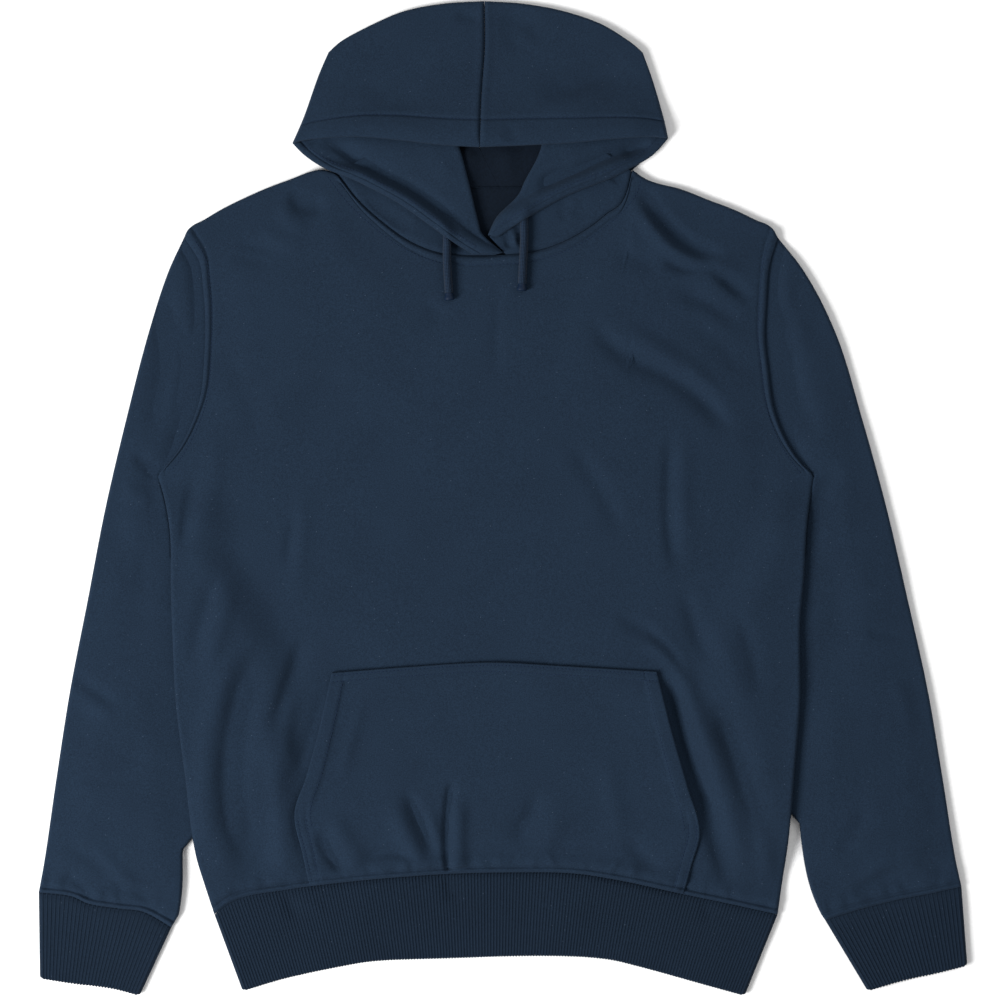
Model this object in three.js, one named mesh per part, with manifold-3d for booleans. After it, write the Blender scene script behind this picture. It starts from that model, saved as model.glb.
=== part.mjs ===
// A pullover hoodie of brushed fleece, laid flat on its back with its sleeves under its sides.
// Millimetres. +X is the right of the picture, +Y runs from hem to hood, +Z is up from the table.
// Left and right are those of the picture. The origin is on the table, at the middle of the outline.
import * as THREE from 'three';
import Module from 'manifold-3d';
import { mergeVertices } from 'three/addons/utils/BufferGeometryUtils.js';

// Cloth and layers
const FLEECE = 2.2;
const RIB_WALL = 2.8;
const SEAM_GAP = 0.3;
const LAID_HEIGHT = 6.4; // two layers of fleece with the soft air between them
const SLEEVE_CLEARANCE = 0.9; // between a sleeve and the back panel that lies on it
const EDGE_RADIUS = LAID_HEIGHT / 2;
const MIDDLE = LAID_HEIGHT / 2;
const EDGE_ROUNDING = 0.75; // share of a full round that a panel's turned edge takes
const WALL_LEAST = 0.6; // wall left where a fold is pressed sharp

// Where the body lies over the sleeves: it rises inward from a sleeve's seam, between these distances
const LIFT_ACROSS = [-62, -18];
const LIFT_TOP = [17, -26]; // heights between which the rise starts under the arm
const LIFT_END_LEFT = [-352, -308]; // heights between which it ends, above the hem
const LIFT_END_RIGHT = [-330, -284];

// Rib knit
const BAND_HEIGHT = 6.6;
const RIB_RISE = 0.7;
const HEM_RIBS = 174;
const CUFF_RIBS = 31;
const RIB_FILL = 0.55; // share of the pitch that a raised rib takes
// Rows of a band from its seam to its fold: share of the rib's rise, and how far the knit is drawn in
const BAND_LEVELS = [
  { along: 0, share: 0.4, waist: 0.4 },
  { along: 0.1, share: 1, waist: 0 },
  { along: 1, share: 0.5, waist: 0.7 },
];

// Pocket
const POCKET_LIFT = 1.2; // how far the slanted openings stand off the front
const POCKET_HEM = 1.2; // extra thickness of the turned edge at an opening
const POCKET_HEM_SHARE = 0.09;
const POCKET_TOP_HEM_SHARE = 0.96;
const POCKET_OPEN_LOW = [-6, 16]; // the opening starts this far round the pocket's lower corner
const POCKET_OPEN_HIGH = [-152, -176]; // heights between which the opening starts at its upper corner
const POCKET_MIDDLE = -6;
const POCKET_GAP = 0.45;
const UNDER_POCKET_UP = [-138, -118]; // the front's own ridges end under the pocket, up the garment
const UNDER_POCKET_ACROSS = [178, 200]; // and outward from the pocket's middle

// Hood
const CROWN_RISE = 8.6; // height that the face edge of the crown stands over the laid cloth
const CROWN_TIP_SHARE = 0.45; // share of that height left at the crown's side folds
const CROWN_TIP_WIDTH = 0.2; // share of the half's width over which it is reached
const CROWN_FLAT = 0.62; // share of the depth at which the crown lies flat
const CASING_WALL = 4.4; // turned casing at the face edge
const CASING_SHARE = 0.19; // 24 mm of the 127 mm from face edge to crown
const FOLD_SHARPNESS = 8;
const LAPEL_TOP = 9.2;
const LAPEL_ROLL = 5.6; // soft roll of the casing along the free edge
const LAPEL_ROLL_PEAK = 0.12; // shares of the lapel's width: how far out the roll's crest is moved,
const LAPEL_ROLL_WIDTH = 0.5; // how wide the roll is
const LAPEL_ROLL_END = [0.56, 0.4]; // and where it flattens
const LAPEL_ROLL_SIDE = [0.02, 0.3]; // the same along the lapel, from the side of the hood
const LAPEL_ROLL_FRONT = [1.25, 0.75]; // and toward the centre front
const LAPEL_SINK = 3.4; // how far a lapel's edge drops to the shoulder at the side of the hood
const LAPEL_SINK_ALONG = [0.3, 0];
const LAPEL_SINK_ACROSS = [0.75, 0];
const LAPEL_LIP = 0.5; // rounding of the free edge
const FRONT_LAYER = LAID_HEIGHT - FLEECE; // underside of the front panel and the hood's front
const LAPEL_UNDER = LAPEL_TOP - FLEECE;

// Drawcord
const CORD_DIAMETER = 7;
const CORD_SIDES = 10;
const CORD_LEVEL = 10.7;
const TIP_LENGTH = 6;
const TIP_NECK_RADIUS = 3.2;
const TIP_END_RADIUS = 3.9;
const TIP_ROUNDING = 0.8;

// Outline tables. Each row is [across, up] in millimetres, read from the hem upward or left to right.
const SIDE_LEFT = [
  [-248, -358], [-256, -333], [-264, -305], [-273, -238], [-281, -174],
  [-283, -135], [-285, -78], [-286, -28], [-291, 0], [-297, 19],
];
const ARMHOLE_LEFT = [
  [-297, 19], [-280, 40], [-267, 66], [-260, 88], [-257, 117],
  [-256, 158], [-258, 182], [-261, 203], [-274, 224],
];
const SIDE_RIGHT = [
  [236, -358], [238, -343], [245, -294], [251, -225], [255, -174],
  [255, -107], [258, -71], [261, -22], [265, 7], [267, 19],
];
const ARMHOLE_RIGHT = [
  [267, 19], [256, 30], [243, 50], [233, 76], [228, 109],
  [225, 137], [226, 165], [229, 200], [236, 224],
];
const SHOULDER_LEFT = [
  [-274, 224], [-271, 230], [-257, 239], [-242, 248], [-226, 256],
  [-206, 265], [-185, 273], [-158, 282], [-144, 280],
];
const SHOULDER_RIGHT = [
  [111, 282], [123, 274], [154, 265], [177, 256], [198, 248], [217, 239], [232, 231], [236, 224],
];
const FRONT_NECK = [
  [-144, 280], [-126, 257], [-104, 237], [-83, 222], [-60, 212], [-43, 209], [1, 209],
  [28, 212], [60, 224], [89, 244], [107, 264], [111, 282],
];
const BACK_NECK = [[-144, 280], [-106, 273], [-54, 269], [0, 268], [49, 269], [83, 273], [111, 282]];
const HEM_SEAM = [
  [-248, -358], [-233, -347], [-187, -337], [-132, -330], [-88, -326], [-41, -323],
  [6, -322], [62, -323], [101, -329], [152, -340], [200, -350], [236, -358],
];
const HEM_FOLD = [
  [-224, -423], [-187, -412], [-140, -402], [-106, -397], [-46, -395],
  [32, -393], [83, -395], [117, -402], [175, -418], [208, -427],
];
const SLEEVE_TOP_LEFT = [
  [-274, 224], [-287, 196], [-304, 144], [-324, 67], [-342, -10],
  [-357, -88], [-372, -165], [-384, -242], [-394, -311], [-399, -339],
];
const SLEEVE_SEAM_LEFT = [
  [-298, 18], [-292, -2], [-288, -24], [-287, -45], [-268, -75], [-245, -114], [-231, -156],
  [-230, -191], [-237, -238], [-251, -281], [-267, -309], [-274, -335], [-285, -369],
];
const SLEEVE_TOP_RIGHT = [
  [236, 224], [258, 196], [285, 144], [309, 67], [330, -10],
  [348, -88], [365, -165], [378, -242], [389, -311], [394, -334],
];
const SLEEVE_SEAM_RIGHT = [
  [268, 18], [266, 2], [263, -20], [261, -43], [245, -75], [225, -118], [212, -156],
  [209, -191], [215, -230], [232, -261], [249, -285], [262, -316], [277, -363],
];
const CUFF_SEAM_LEFT = [[-399, -339], [-372, -342], [-355, -349], [-329, -353], [-308, -356], [-285, -369]];
const CUFF_FOLD_LEFT = [[-398, -412], [-368, -417], [-336, -421], [-312, -427]];
const CUFF_SEAM_RIGHT = [[277, -363], [292, -358], [316, -351], [341, -345], [367, -340], [394, -334]];
const CUFF_FOLD_RIGHT = [[313, -423], [341, -415], [372, -408], [399, -401]];
const FACE_EDGE_LEFT = [[-181, 305], [-163, 308], [-126, 310], [-89, 307], [-54, 303], [-20, 301]];
const FACE_EDGE_RIGHT = [[142, 309], [124, 310], [94, 308], [62, 305], [28, 303], [-20, 301]];
const CROWN_FOLD_LEFT = [[-150, 383], [-137, 394], [-108, 409], [-83, 419], [-50, 425], [-16, 427]];
const CROWN_FOLD_RIGHT = [[120, 383], [108, 393], [83, 408], [50, 419], [16, 425], [-16, 427]];
const HOOD_SIDE_LEFT = [[-181, 305], [-171, 328], [-159, 362], [-150, 383]];
const HOOD_SIDE_RIGHT = [[142, 309], [138, 327], [129, 358], [120, 383]];
const HOOD_MIDDLE = [[-20, 301], [-19, 341], [-16, 384], [-16, 427]];
const LAPEL_FOLD_LEFT = [[-46, 334], [-37, 301], [-29, 270], [-21, 237], [-17, 226], [0, 211]];
const LAPEL_EDGE_LEFT = [
  [-181, 305], [-170, 294], [-153, 283], [-128, 273], [-93, 255], [-67, 237], [-45, 221], [-26, 209],
];
const LAPEL_FOLD_RIGHT = [[38, 334], [32, 299], [19, 273], [12, 259], [-5, 242], [-13, 226]];
const LAPEL_EDGE_RIGHT = [
  [142, 309], [128, 294], [111, 284], [94, 275], [76, 268], [52, 258], [22, 241], [3, 229], [-4, 224],
];
const POCKET_LEFT = [[-166, -334], [-172, -307], [-179, -271], [-169, -240], [-157, -195], [-147, -150]];
const POCKET_RIGHT = [[155, -338], [162, -313], [169, -286], [158, -245], [145, -200], [132, -149]];
const POCKET_TOP = [[-147, -150], [-83, -145], [-11, -141], [50, -144], [132, -149]];

// Drawcords, by hand: [across, up, height of the middle of the cord]
const CORD_LEFT = [
  [-48, 219.5, CORD_LEVEL], [-48.2, 209, CORD_LEVEL], [-47.6, 194, CORD_LEVEL], [-46.4, 176, CORD_LEVEL],
];
const CORD_RIGHT = [
  [18, 235, CORD_LEVEL], [18.2, 222, CORD_LEVEL], [17.3, 204, CORD_LEVEL], [16.4, 184, CORD_LEVEL],
];

// Soft ridges of cloth: a line from one end to the other, the half width and the height, in millimetres
const FRONT_FOLDS = [
  { from: [-214, -170], to: [-224, -300], half: 22, height: 3.2 },
  { from: [106, -90], to: [172, -138], half: 13, height: 2.6 },
  { from: [174, -205], to: [222, -290], half: 14, height: 3 },
  { from: [150, 106], to: [190, 58], half: 20, height: 2.4 },
  { from: [128, 170], to: [165, 142], half: 16, height: 2 },
  { from: [148, 246], to: [190, 214], half: 16, height: 2.6 },
  { from: [-258, 30], to: [-268, -22], half: 12, height: 2.4 },
  { from: [-232, -92], to: [-256, -150], half: 14, height: 2.4 },
  { from: [-158, 256], to: [-172, 236], half: 15, height: 2 },
];
const POCKET_FOLDS = [
  { from: [-42, -248], to: [-46, -325], half: 15, height: 3 },
  { from: [-88, -250], to: [-56, -310], half: 14, height: 2 },
  { from: [112, -250], to: [136, -300], half: 15, height: 2 },
];

// Places across and along a body panel, as shares, beside the stops near its edges
const EDGE_STOPS = [0, 1, EDGE_RADIUS];
const NECK_LEFT_SHARE = 0.2549;
const NECK_RIGHT_SHARE = 0.7549;
const BODY_ACROSS = [
  0.03, 0.065, 0.1, 0.14, 0.19, NECK_LEFT_SHARE, 0.272, 0.3, 0.335, 0.38, 0.435, 0.5, 0.565, 0.62,
  0.67, 0.71, 0.742, NECK_RIGHT_SHARE, 0.81, 0.86, 0.9, 0.935, 0.97,
];
const BODY_COLUMNS = EDGE_STOPS.length * 2 + BODY_ACROSS.length;
const SHOULDER_FOLLOW = 6; // power with which the edge columns take up the shoulder's slope
const NECK_MARGIN = 2; // cloth at each end of the neck that still counts as shoulder
const UNDERARM_SHARE = 0.648;
const BODY_UP = [
  0, 0.02, 0.055, 0.09, 0.15, 0.22, 0.3, 0.38, 0.46, 0.54, 0.595, UNDERARM_SHARE,
  0.7, 0.76, 0.83, 0.9, 0.955, 0.983, 0.9945, 1,
];

/** Smooth step from 0 at `low` to 1 at `high`; `low` may be the larger. */
function ease(value, low, high) {
  const t = Math.min(1, Math.max(0, (value - low) / (high - low)));
  return t * t * (3 - 2 * t);
}

/** Value of the `read` column at a place in the `key` column, on a smooth line through the rows. */
function track(rows, key, read, place) {
  const up = rows[rows.length - 1][key] > rows[0][key];
  const list = up ? rows : [...rows].reverse();
  let i = 0;
  while (i < list.length - 2 && place > list[i + 1][key]) i += 1;
  const slope = (a, b) => (list[b][read] - list[a][read]) / (list[b][key] - list[a][key] || 1);
  const here = slope(i, i + 1);
  const before = i > 0 ? (here + slope(i - 1, i)) / 2 : here;
  const after = i < list.length - 2 ? (here + slope(i + 1, i + 2)) / 2 : here;
  const span = list[i + 1][key] - list[i][key];
  const t = Math.min(1, Math.max(0, (place - list[i][key]) / span));
  const t2 = t * t;
  const t3 = t2 * t;
  return (2 * t3 - 3 * t2 + 1) * list[i][read] + (t3 - 2 * t2 + t) * span * before
    + (3 * t2 - 2 * t3) * list[i + 1][read] + (t3 - t2) * span * after;
}

/** A smooth plane curve through the rows of a table; read it with getPointAt. */
function curveOf(rows) {
  const curve = new THREE.SplineCurve(rows.map(([across, up]) => new THREE.Vector2(across, up)));
  curve.arcLengthDivisions = 400;
  return curve;
}

/** Straight runs through plane points, moved sideways to their left by `offset`; read it with getPointAt. */
function lineOf(points, offset = 0) {
  const normals = points.slice(1).map((point, i) => {
    const run = point.clone().sub(points[i]).normalize();
    return new THREE.Vector2(-run.y, run.x);
  });
  const moved = points.map((point, i) => {
    const before = normals[Math.max(0, i - 1)];
    const after = normals[Math.min(normals.length - 1, i)];
    const normal = before.clone().add(after).normalize();
    return point.clone().addScaledVector(normal, offset / normal.dot(after));
  });
  const line = new THREE.CurvePath();
  moved.slice(1).forEach((point, i) => line.add(new THREE.LineCurve(moved[i], point)));
  return line;
}

/** Shares of a line's length at which its corners lie. */
function cornerShares(line) {
  const lengths = line.getCurveLengths();
  return [0, ...lengths.map((length) => length / lengths.at(-1))];
}

/** Point at a share of the way between two plane points. */
function between(a, b, share) {
  return new THREE.Vector2().lerpVectors(a, b, share);
}

/** How far a rounded edge falls below the flat, at a distance in from that edge. */
function edgeFall(distance, radius) {
  if (distance >= radius) return 0;
  const rest = 1 - Math.max(0, distance) / radius;
  return radius * (1 - Math.sqrt(Math.max(0, 1 - rest * rest)));
}

/** Height that the listed soft ridges add at a place. */
function foldRise(folds, x, y) {
  let rise = 0;
  for (const { from, to, half, height } of folds) {
    const dx = to[0] - from[0];
    const dy = to[1] - from[1];
    const length = Math.hypot(dx, dy);
    const along = ((x - from[0]) * dx + (y - from[1]) * dy) / length;
    const off = Math.abs((x - from[0]) * dy - (y - from[1]) * dx) / length;
    const ends = ease(along, -half, half) * ease(along, length + half, length - half);
    rise += height * ends * Math.exp(-((off / half) ** 2));
  }
  return rise;
}

/** Turns vertex and triangle lists into a geometry with its doubles merged. */
function geometryOf(points, triangles) {
  const geometry = new THREE.BufferGeometry();
  const places = points.flatMap((p) => [p.x, p.y, p.z]);
  geometry.setAttribute('position', new THREE.Float32BufferAttribute(places, 3));
  geometry.setIndex(triangles.flat());
  return mergeVertices(geometry, 1e-4);
}

/** Closes a wall: outer and inner points share the same quads, and the rim follows the free edges. */
function wallOf(outer, inner, quads) {
  const shift = outer.length;
  const triangles = [];
  const edges = new Map();
  for (const quad of quads) {
    const [a, b, c, d] = quad;
    triangles.push([a, b, c], [a, c, d]);
    triangles.push([a + shift, c + shift, b + shift], [a + shift, d + shift, c + shift]);
    quad.forEach((from, i) => {
      const to = quad[(i + 1) % 4];
      if (!edges.delete(`${to}_${from}`)) edges.set(`${from}_${to}`, [from, to]);
    });
  }
  for (const [from, to] of edges.values()) {
    triangles.push([to, from, from + shift], [to, from + shift, to + shift]);
  }
  return geometryOf([...outer, ...inner], triangles);
}

/** Quads of a net of rows and columns, facing up where rows run up and columns run right. */
function netQuads(rows, columns, first = 0, flip = false) {
  const quads = [];
  for (let i = 0; i < rows - 1; i += 1) {
    for (let j = 0; j < columns - 1; j += 1) {
      const a = first + i * columns + j;
      const quad = [a, a + 1, a + columns + 1, a + columns];
      quads.push(flip ? quad.reverse() : quad);
    }
  }
  return quads;
}

const BODY_EDGES = {
  left: { side: SIDE_LEFT, armhole: ARMHOLE_LEFT },
  right: { side: SIDE_RIGHT, armhole: ARMHOLE_RIGHT },
};

/** Place across of the body's side or armhole edge, at a height up the garment. */
function bodyEdge(hand, up) {
  const { side, armhole } = BODY_EDGES[hand];
  return track(up < side[side.length - 1][1] ? side : armhole, 1, 0, up);
}

/** Height up the garment of a body panel's side edge, at a share of the way from hem to shoulder. */
function edgeUp(hand, share) {
  const { side, armhole } = BODY_EDGES[hand];
  return THREE.MathUtils.lerp(side[0][1], armhole.at(-1)[1], share);
}

/** As bodyEdge, on the straight runs between the panel's own rows. */
function rowEdge(hand, up) {
  const ups = BODY_UP.map((share) => edgeUp(hand, share));
  const i = Math.min(ups.length - 2, Math.max(0, ups.findIndex((value) => value > up) - 1));
  const share = (up - ups[i]) / (ups[i + 1] - ups[i]);
  return THREE.MathUtils.lerp(bodyEdge(hand, ups[i]), bodyEdge(hand, ups[i + 1]), share);
}

/** How high the sleeves underneath raise the body. */
function sleeveLift(x, y) {
  const hand = x < 0 ? -1 : 1;
  const seam = track(x < 0 ? SLEEVE_SEAM_LEFT : SLEEVE_SEAM_RIGHT, 1, 0, y);
  const rise = ease(hand * (x - seam), ...LIFT_ACROSS);
  const along = ease(y, ...LIFT_TOP) * ease(y, ...(x < 0 ? LIFT_END_LEFT : LIFT_END_RIGHT));
  return (LAID_HEIGHT + SLEEVE_CLEARANCE) * rise * along;
}

/** Upper edge of a body panel at a place across: shoulder, neck, shoulder. */
function bodyTop(x, neck) {
  const last = neck.length - 1;
  if (x <= neck[0][0]) return track(SHOULDER_LEFT, 0, 1, x);
  if (x >= neck[last][0]) return track(SHOULDER_RIGHT, 0, 1, x);
  return track(neck, 0, 1, x);
}

/** Places of a body panel's net: plan position, and how far each point is from a wrapped edge. */
function bodyNet(neck) {
  const net = [];
  const topLeft = ARMHOLE_LEFT.at(-1)[0];
  const topRight = ARMHOLE_RIGHT.at(-1)[0];
  const wide = topRight - topLeft;
  for (const share of BODY_UP) {
    const left = bodyEdge('left', edgeUp('left', share));
    const right = bodyEdge('right', edgeUp('right', share));
    const follow = share ** SHOULDER_FOLLOW;
    const stops = [
      ...EDGE_STOPS.map((stop) => ({
        x: left + stop, top: topLeft + stop * follow, part: stop / wide, side: stop,
      })),
      ...BODY_ACROSS.map((part) => ({
        x: THREE.MathUtils.lerp(left, right, part), top: topLeft + wide * part, part, side: EDGE_RADIUS,
      })),
      ...[...EDGE_STOPS].reverse().map((stop) => ({
        x: right - stop, top: topRight - stop * follow, part: 1 - stop / wide, side: stop,
      })),
    ];
    for (const { x, top, part, side } of stops) {
      const hemX = THREE.MathUtils.lerp(HEM_SEAM[0][0], HEM_SEAM.at(-1)[0], part);
      const low = track(HEM_SEAM, 0, 1, hemX) + SEAM_GAP;
      const high = bodyTop(top, neck);
      const y = THREE.MathUtils.lerp(low, high, share);
      const inNeck = top > neck[0][0] + NECK_MARGIN && top < neck.at(-1)[0] - NECK_MARGIN;
      const sideEdge = share <= UNDERARM_SHARE ? side : EDGE_RADIUS;
      const topEdge = inNeck ? EDGE_RADIUS : high - y;
      net.push({ x, y, edge: Math.min(sideEdge, topEdge, EDGE_RADIUS) });
    }
  }
  return net;
}

/** Front or back panel: half of the laid body, rounded where it turns to meet the other half. */
function bodyPanel(neck, isFront) {
  const net = bodyNet(neck);
  const toward = isFront ? 1 : -1;
  const skin = (outside) => net.map(({ x, y, edge }) => {
    const fromMiddle = Math.abs(x - POCKET_MIDDLE);
    const bare = Math.max(ease(y, ...UNDER_POCKET_UP), ease(fromMiddle, ...UNDER_POCKET_ACROSS));
    const folds = isFront ? foldRise(FRONT_FOLDS, x, y) * bare : 0;
    const outsideLevel = EDGE_RADIUS - EDGE_ROUNDING * edgeFall(edge, EDGE_RADIUS);
    const insideLevel = edge < FLEECE ? SEAM_GAP / 2 : EDGE_RADIUS - FLEECE;
    const level = outside ? outsideLevel : insideLevel;
    return new THREE.Vector3(x, y, MIDDLE + toward * level + folds + sleeveLift(x, y));
  });
  return wallOf(skin(isFront), skin(!isFront), netQuads(BODY_UP.length, BODY_COLUMNS));
}

/** Turn of a laid tube's section: over the top from left to right, and back along the table. */
function sectionTurn(stops) {
  const over = stops.map((share) => ({ share, rise: 0, upper: true }));
  const under = stops.slice(1, -1).reverse().map((share) => ({ share, rise: 0, upper: false }));
  return [...over, ...under];
}

/** One point of a laid tube's wall; `inset` is 0 outside and the wall's thickness inside. */
function tubePoint(plan, share, along, upper, height, inset, raise) {
  const width = plan(0, along).distanceTo(plan(1, along));
  const across = inset / width + share * (1 - (2 * inset) / width);
  const place = plan(across, along);
  const radius = height / 2 - inset;
  const edge = Math.min(share, 1 - share) * (width - 2 * inset);
  const level = radius - edgeFall(edge, radius);
  const z = height / 2 + (upper ? level + raise * (level / radius) : -level);
  return new THREE.Vector3(place.x, place.y, z);
}

/** Quads of a tube's net whose rows are closed turns. */
function tubeQuads(rows, turn, flip) {
  const quads = [];
  for (let i = 0; i < rows - 1; i += 1) {
    for (let j = 0; j < turn; j += 1) {
      const next = (j + 1) % turn;
      const quad = [i * turn + j, i * turn + next, (i + 1) * turn + next, (i + 1) * turn + j];
      quads.push(flip ? quad.reverse() : quad);
    }
  }
  return quads;
}

const SLEEVES = {
  left: {
    hand: 'left', top: SLEEVE_TOP_LEFT, seam: SLEEVE_SEAM_LEFT, armhole: ARMHOLE_LEFT,
    cuff: CUFF_SEAM_LEFT,
  },
  right: {
    hand: 'right', top: SLEEVE_TOP_RIGHT, seam: SLEEVE_SEAM_RIGHT, armhole: ARMHOLE_RIGHT,
    cuff: [...CUFF_SEAM_RIGHT].reverse(),
  },
};
const TUCK_START = -42; // below this height the sleeve slips under the body's side
const TUCK_FADE = [-24, 30]; // heights between which its rows keep clear of the body's edge
const TUCK_CLEARANCE = 30; // how far they keep clear at most
const TUCK_SLOPE = 220; // and for each share of the sleeve's length
const ARMHOLE_GAP = SEAM_GAP * 1.2;
const ARMHOLE_REACH = 1.8; // the sleeve's head takes up the armhole's line over 1 / this of its length
const CUFF_REACH = 6; // power with which its end takes up the cuff's line
const SLEEVE_ROWS = 15;
const SLEEVE_ROW_CROWDING = 1.15; // draws the rows toward the armhole
const SLEEVE_PUFF = 1.6; // fullness beside the armhole seam
const PUFF_ALONG = { start: [0, 0.06], end: [0.35, 0.08] };
const PUFF_ACROSS = { start: [0.05, 0.3], end: [0.8, 0.45] };

/** Plan of a sleeve: share 0 is its upper fold and 1 its seam; along 0 is the armhole and 1 the cuff. */
function sleevePlan({ hand, top, seam, armhole, cuff }) {
  const topCurve = curveOf(top);
  const seamCurve = curveOf(seam);
  const cuffCurve = curveOf(cuff);
  const away = hand === 'left' ? -1 : 1;
  const tip = armhole.at(-1);
  const under = armhole[0];
  return (share, along) => {
    const chord = between(topCurve.getPointAt(along), seamCurve.getPointAt(along), share);
    const up = THREE.MathUtils.lerp(tip[1], under[1], share);
    const hole = new THREE.Vector2(rowEdge(hand, Math.min(up, tip[1] - 0.01)) + away * ARMHOLE_GAP, up);
    const holeChord = between(topCurve.getPointAt(0), seamCurve.getPointAt(0), share);
    const end = cuffCurve.getPointAt(share).add(new THREE.Vector2(0, SEAM_GAP / 2));
    const endChord = between(topCurve.getPointAt(1), seamCurve.getPointAt(1), share);
    const nearHole = Math.max(0, 1 - along * ARMHOLE_REACH) ** 2;
    const place = chord.add(hole.sub(holeChord).multiplyScalar(nearHole))
      .add(end.sub(endChord).multiplyScalar(along ** CUFF_REACH));
    if (place.y > TUCK_START && place.y < tip[1]) {
      const most = Math.min(TUCK_CLEARANCE, TUCK_SLOPE * along);
      const clear = ARMHOLE_GAP + most * ease(place.y, ...TUCK_FADE);
      const limit = rowEdge(hand, place.y) + away * clear;
      place.x = away * Math.max(away * place.x, away * limit);
    }
    return place;
  };
}

// Stops across a sleeve: those of the body's rows along the armhole, and close ones at its seam
const SLEEVE_SEAM_STOPS = [0.975, 0.992, 1];
const SLEEVE_STOPS = [
  ...BODY_UP.filter((share) => share > UNDERARM_SHARE)
    .map((share) => (1 - share) / (1 - UNDERARM_SHARE)).reverse(),
  ...SLEEVE_SEAM_STOPS,
];

/** A sleeve, laid flat: a tube whose rings run from the armhole to the cuff seam. */
function sleeveTube(sizes) {
  const plan = sleevePlan(sizes);
  const turn = sectionTurn(SLEEVE_STOPS);
  const rows = Array.from({ length: SLEEVE_ROWS }, (_, i) => (i / (SLEEVE_ROWS - 1)) ** SLEEVE_ROW_CROWDING);
  const skin = (inset) => rows.flatMap((along) => turn.map(({ share, upper }) => {
    const puffAlong = ease(along, ...PUFF_ALONG.start) * ease(along, ...PUFF_ALONG.end);
    const puffAcross = ease(share, ...PUFF_ACROSS.start) * ease(share, ...PUFF_ACROSS.end);
    return tubePoint(plan, share, along, upper, LAID_HEIGHT, inset, SLEEVE_PUFF * puffAlong * puffAcross);
  }));
  return wallOf(skin(0), skin(FLEECE), tubeQuads(SLEEVE_ROWS, turn.length, sizes.hand === 'left'));
}

/** Seam line of a cuff, from left to right: corners where the sleeve's own stops lie. */
function cuffSeam(rows, mirrored) {
  const curve = curveOf(rows);
  const shares = mirrored ? SLEEVE_STOPS.map((share) => 1 - share).reverse() : SLEEVE_STOPS;
  return lineOf(shares.map((share) => curve.getPointAt(share)), -SEAM_GAP / 2);
}

/** Seam line of the hem band, from left to right: corners where the front panel's columns end. */
function hemSeam() {
  const corners = bodyNet(FRONT_NECK).slice(0, BODY_COLUMNS).map(({ x, y }) => new THREE.Vector2(x, y));
  return lineOf(corners, -SEAM_GAP);
}

/** Joins two closed turns of unlike counts with a rim; each point carries its place round the turn. */
function rimBetween(outer, inner, outerFirst, innerFirst, flip) {
  const triangles = [];
  let i = 0;
  let j = 0;
  while (i < outer.length || j < inner.length) {
    const nextOuter = i < outer.length ? (outer[i + 1] ?? 1) : 2;
    const nextInner = j < inner.length ? (inner[j + 1] ?? 1) : 2;
    const o = outerFirst + (i % outer.length);
    const n = innerFirst + (j % inner.length);
    const triangle = nextOuter <= nextInner
      ? [o, outerFirst + ((i + 1) % outer.length), n]
      : [o, innerFirst + ((j + 1) % inner.length), n];
    if (nextOuter <= nextInner) i += 1;
    else j += 1;
    triangles.push(flip ? triangle.reverse() : triangle);
  }
  return triangles;
}

/** A laid band of doubled rib knit under a seam line: raised ribs on its upper outside, plain elsewhere. */
function ribBand(seam, foldRows, ribs) {
  const fold = curveOf(foldRows);
  const plan = (share, along) => between(seam.getPointAt(share), fold.getPointAt(share), along);
  const width = plan(0, 0).distanceTo(plan(1, 0));
  const plain = cornerShares(seam);
  const edge = plain.find((share) => share * width > BAND_HEIGHT / 2 - 0.2);
  const pitch = (1 - 2 * edge) / ribs;
  const ribStops = Array.from({ length: ribs }, (_, i) => edge + i * pitch).flatMap((start) => [
    { share: start, rise: 0, upper: true },
    { share: start + pitch * (1 - RIB_FILL), rise: RIB_RISE, upper: true },
  ]);
  const plainTurn = sectionTurn(plain);
  const outerTurn = [
    ...plainTurn.filter(({ share, upper }) => upper && share < edge - pitch / 2),
    ...ribStops,
    ...plainTurn.filter(({ share, upper }) => !upper || share > 1 - edge - pitch / 2),
  ];
  const skin = (turn, inset) => BAND_LEVELS.flatMap(({ along, share: ribShare, waist }) => (
    turn.map(({ share, rise, upper }) => {
      const point = tubePoint(plan, share, along, upper, BAND_HEIGHT, inset, 0);
      if (upper && !inset) point.z += rise * ribShare - waist;
      return point;
    })));
  const outer = skin(outerTurn, 0);
  const inner = skin(plainTurn, RIB_WALL);
  const shift = outer.length;
  const place = ({ share, upper }) => (upper ? share / 2 : 1 - share / 2);
  const outerPlaces = outerTurn.map(place);
  const innerPlaces = plainTurn.map(place);
  const split = ([a, b, c, d]) => [[a, b, c], [a, c, d]];
  const rows = BAND_LEVELS.length;
  const triangles = [
    ...tubeQuads(rows, outerTurn.length, true).flatMap(split),
    ...tubeQuads(rows, plainTurn.length, false)
      .map((quad) => quad.map((index) => index + shift)).flatMap(split),
    ...rimBetween(outerPlaces, innerPlaces, 0, shift, false),
    ...rimBetween(outerPlaces, innerPlaces, (rows - 1) * outerTurn.length,
      shift + (rows - 1) * plainTurn.length, true),
  ];
  return geometryOf([...outer, ...inner], triangles);
}

const POCKET_ROWS = 11;
const POCKET_COLUMNS = 17;
const POCKET_CROWDING = 0.35; // draws the columns toward the turned edges
const POCKET_FOLD_ENDS = { side: [0, 0.08], low: [0, 0.12], high: [1, 0.85] };

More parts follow.
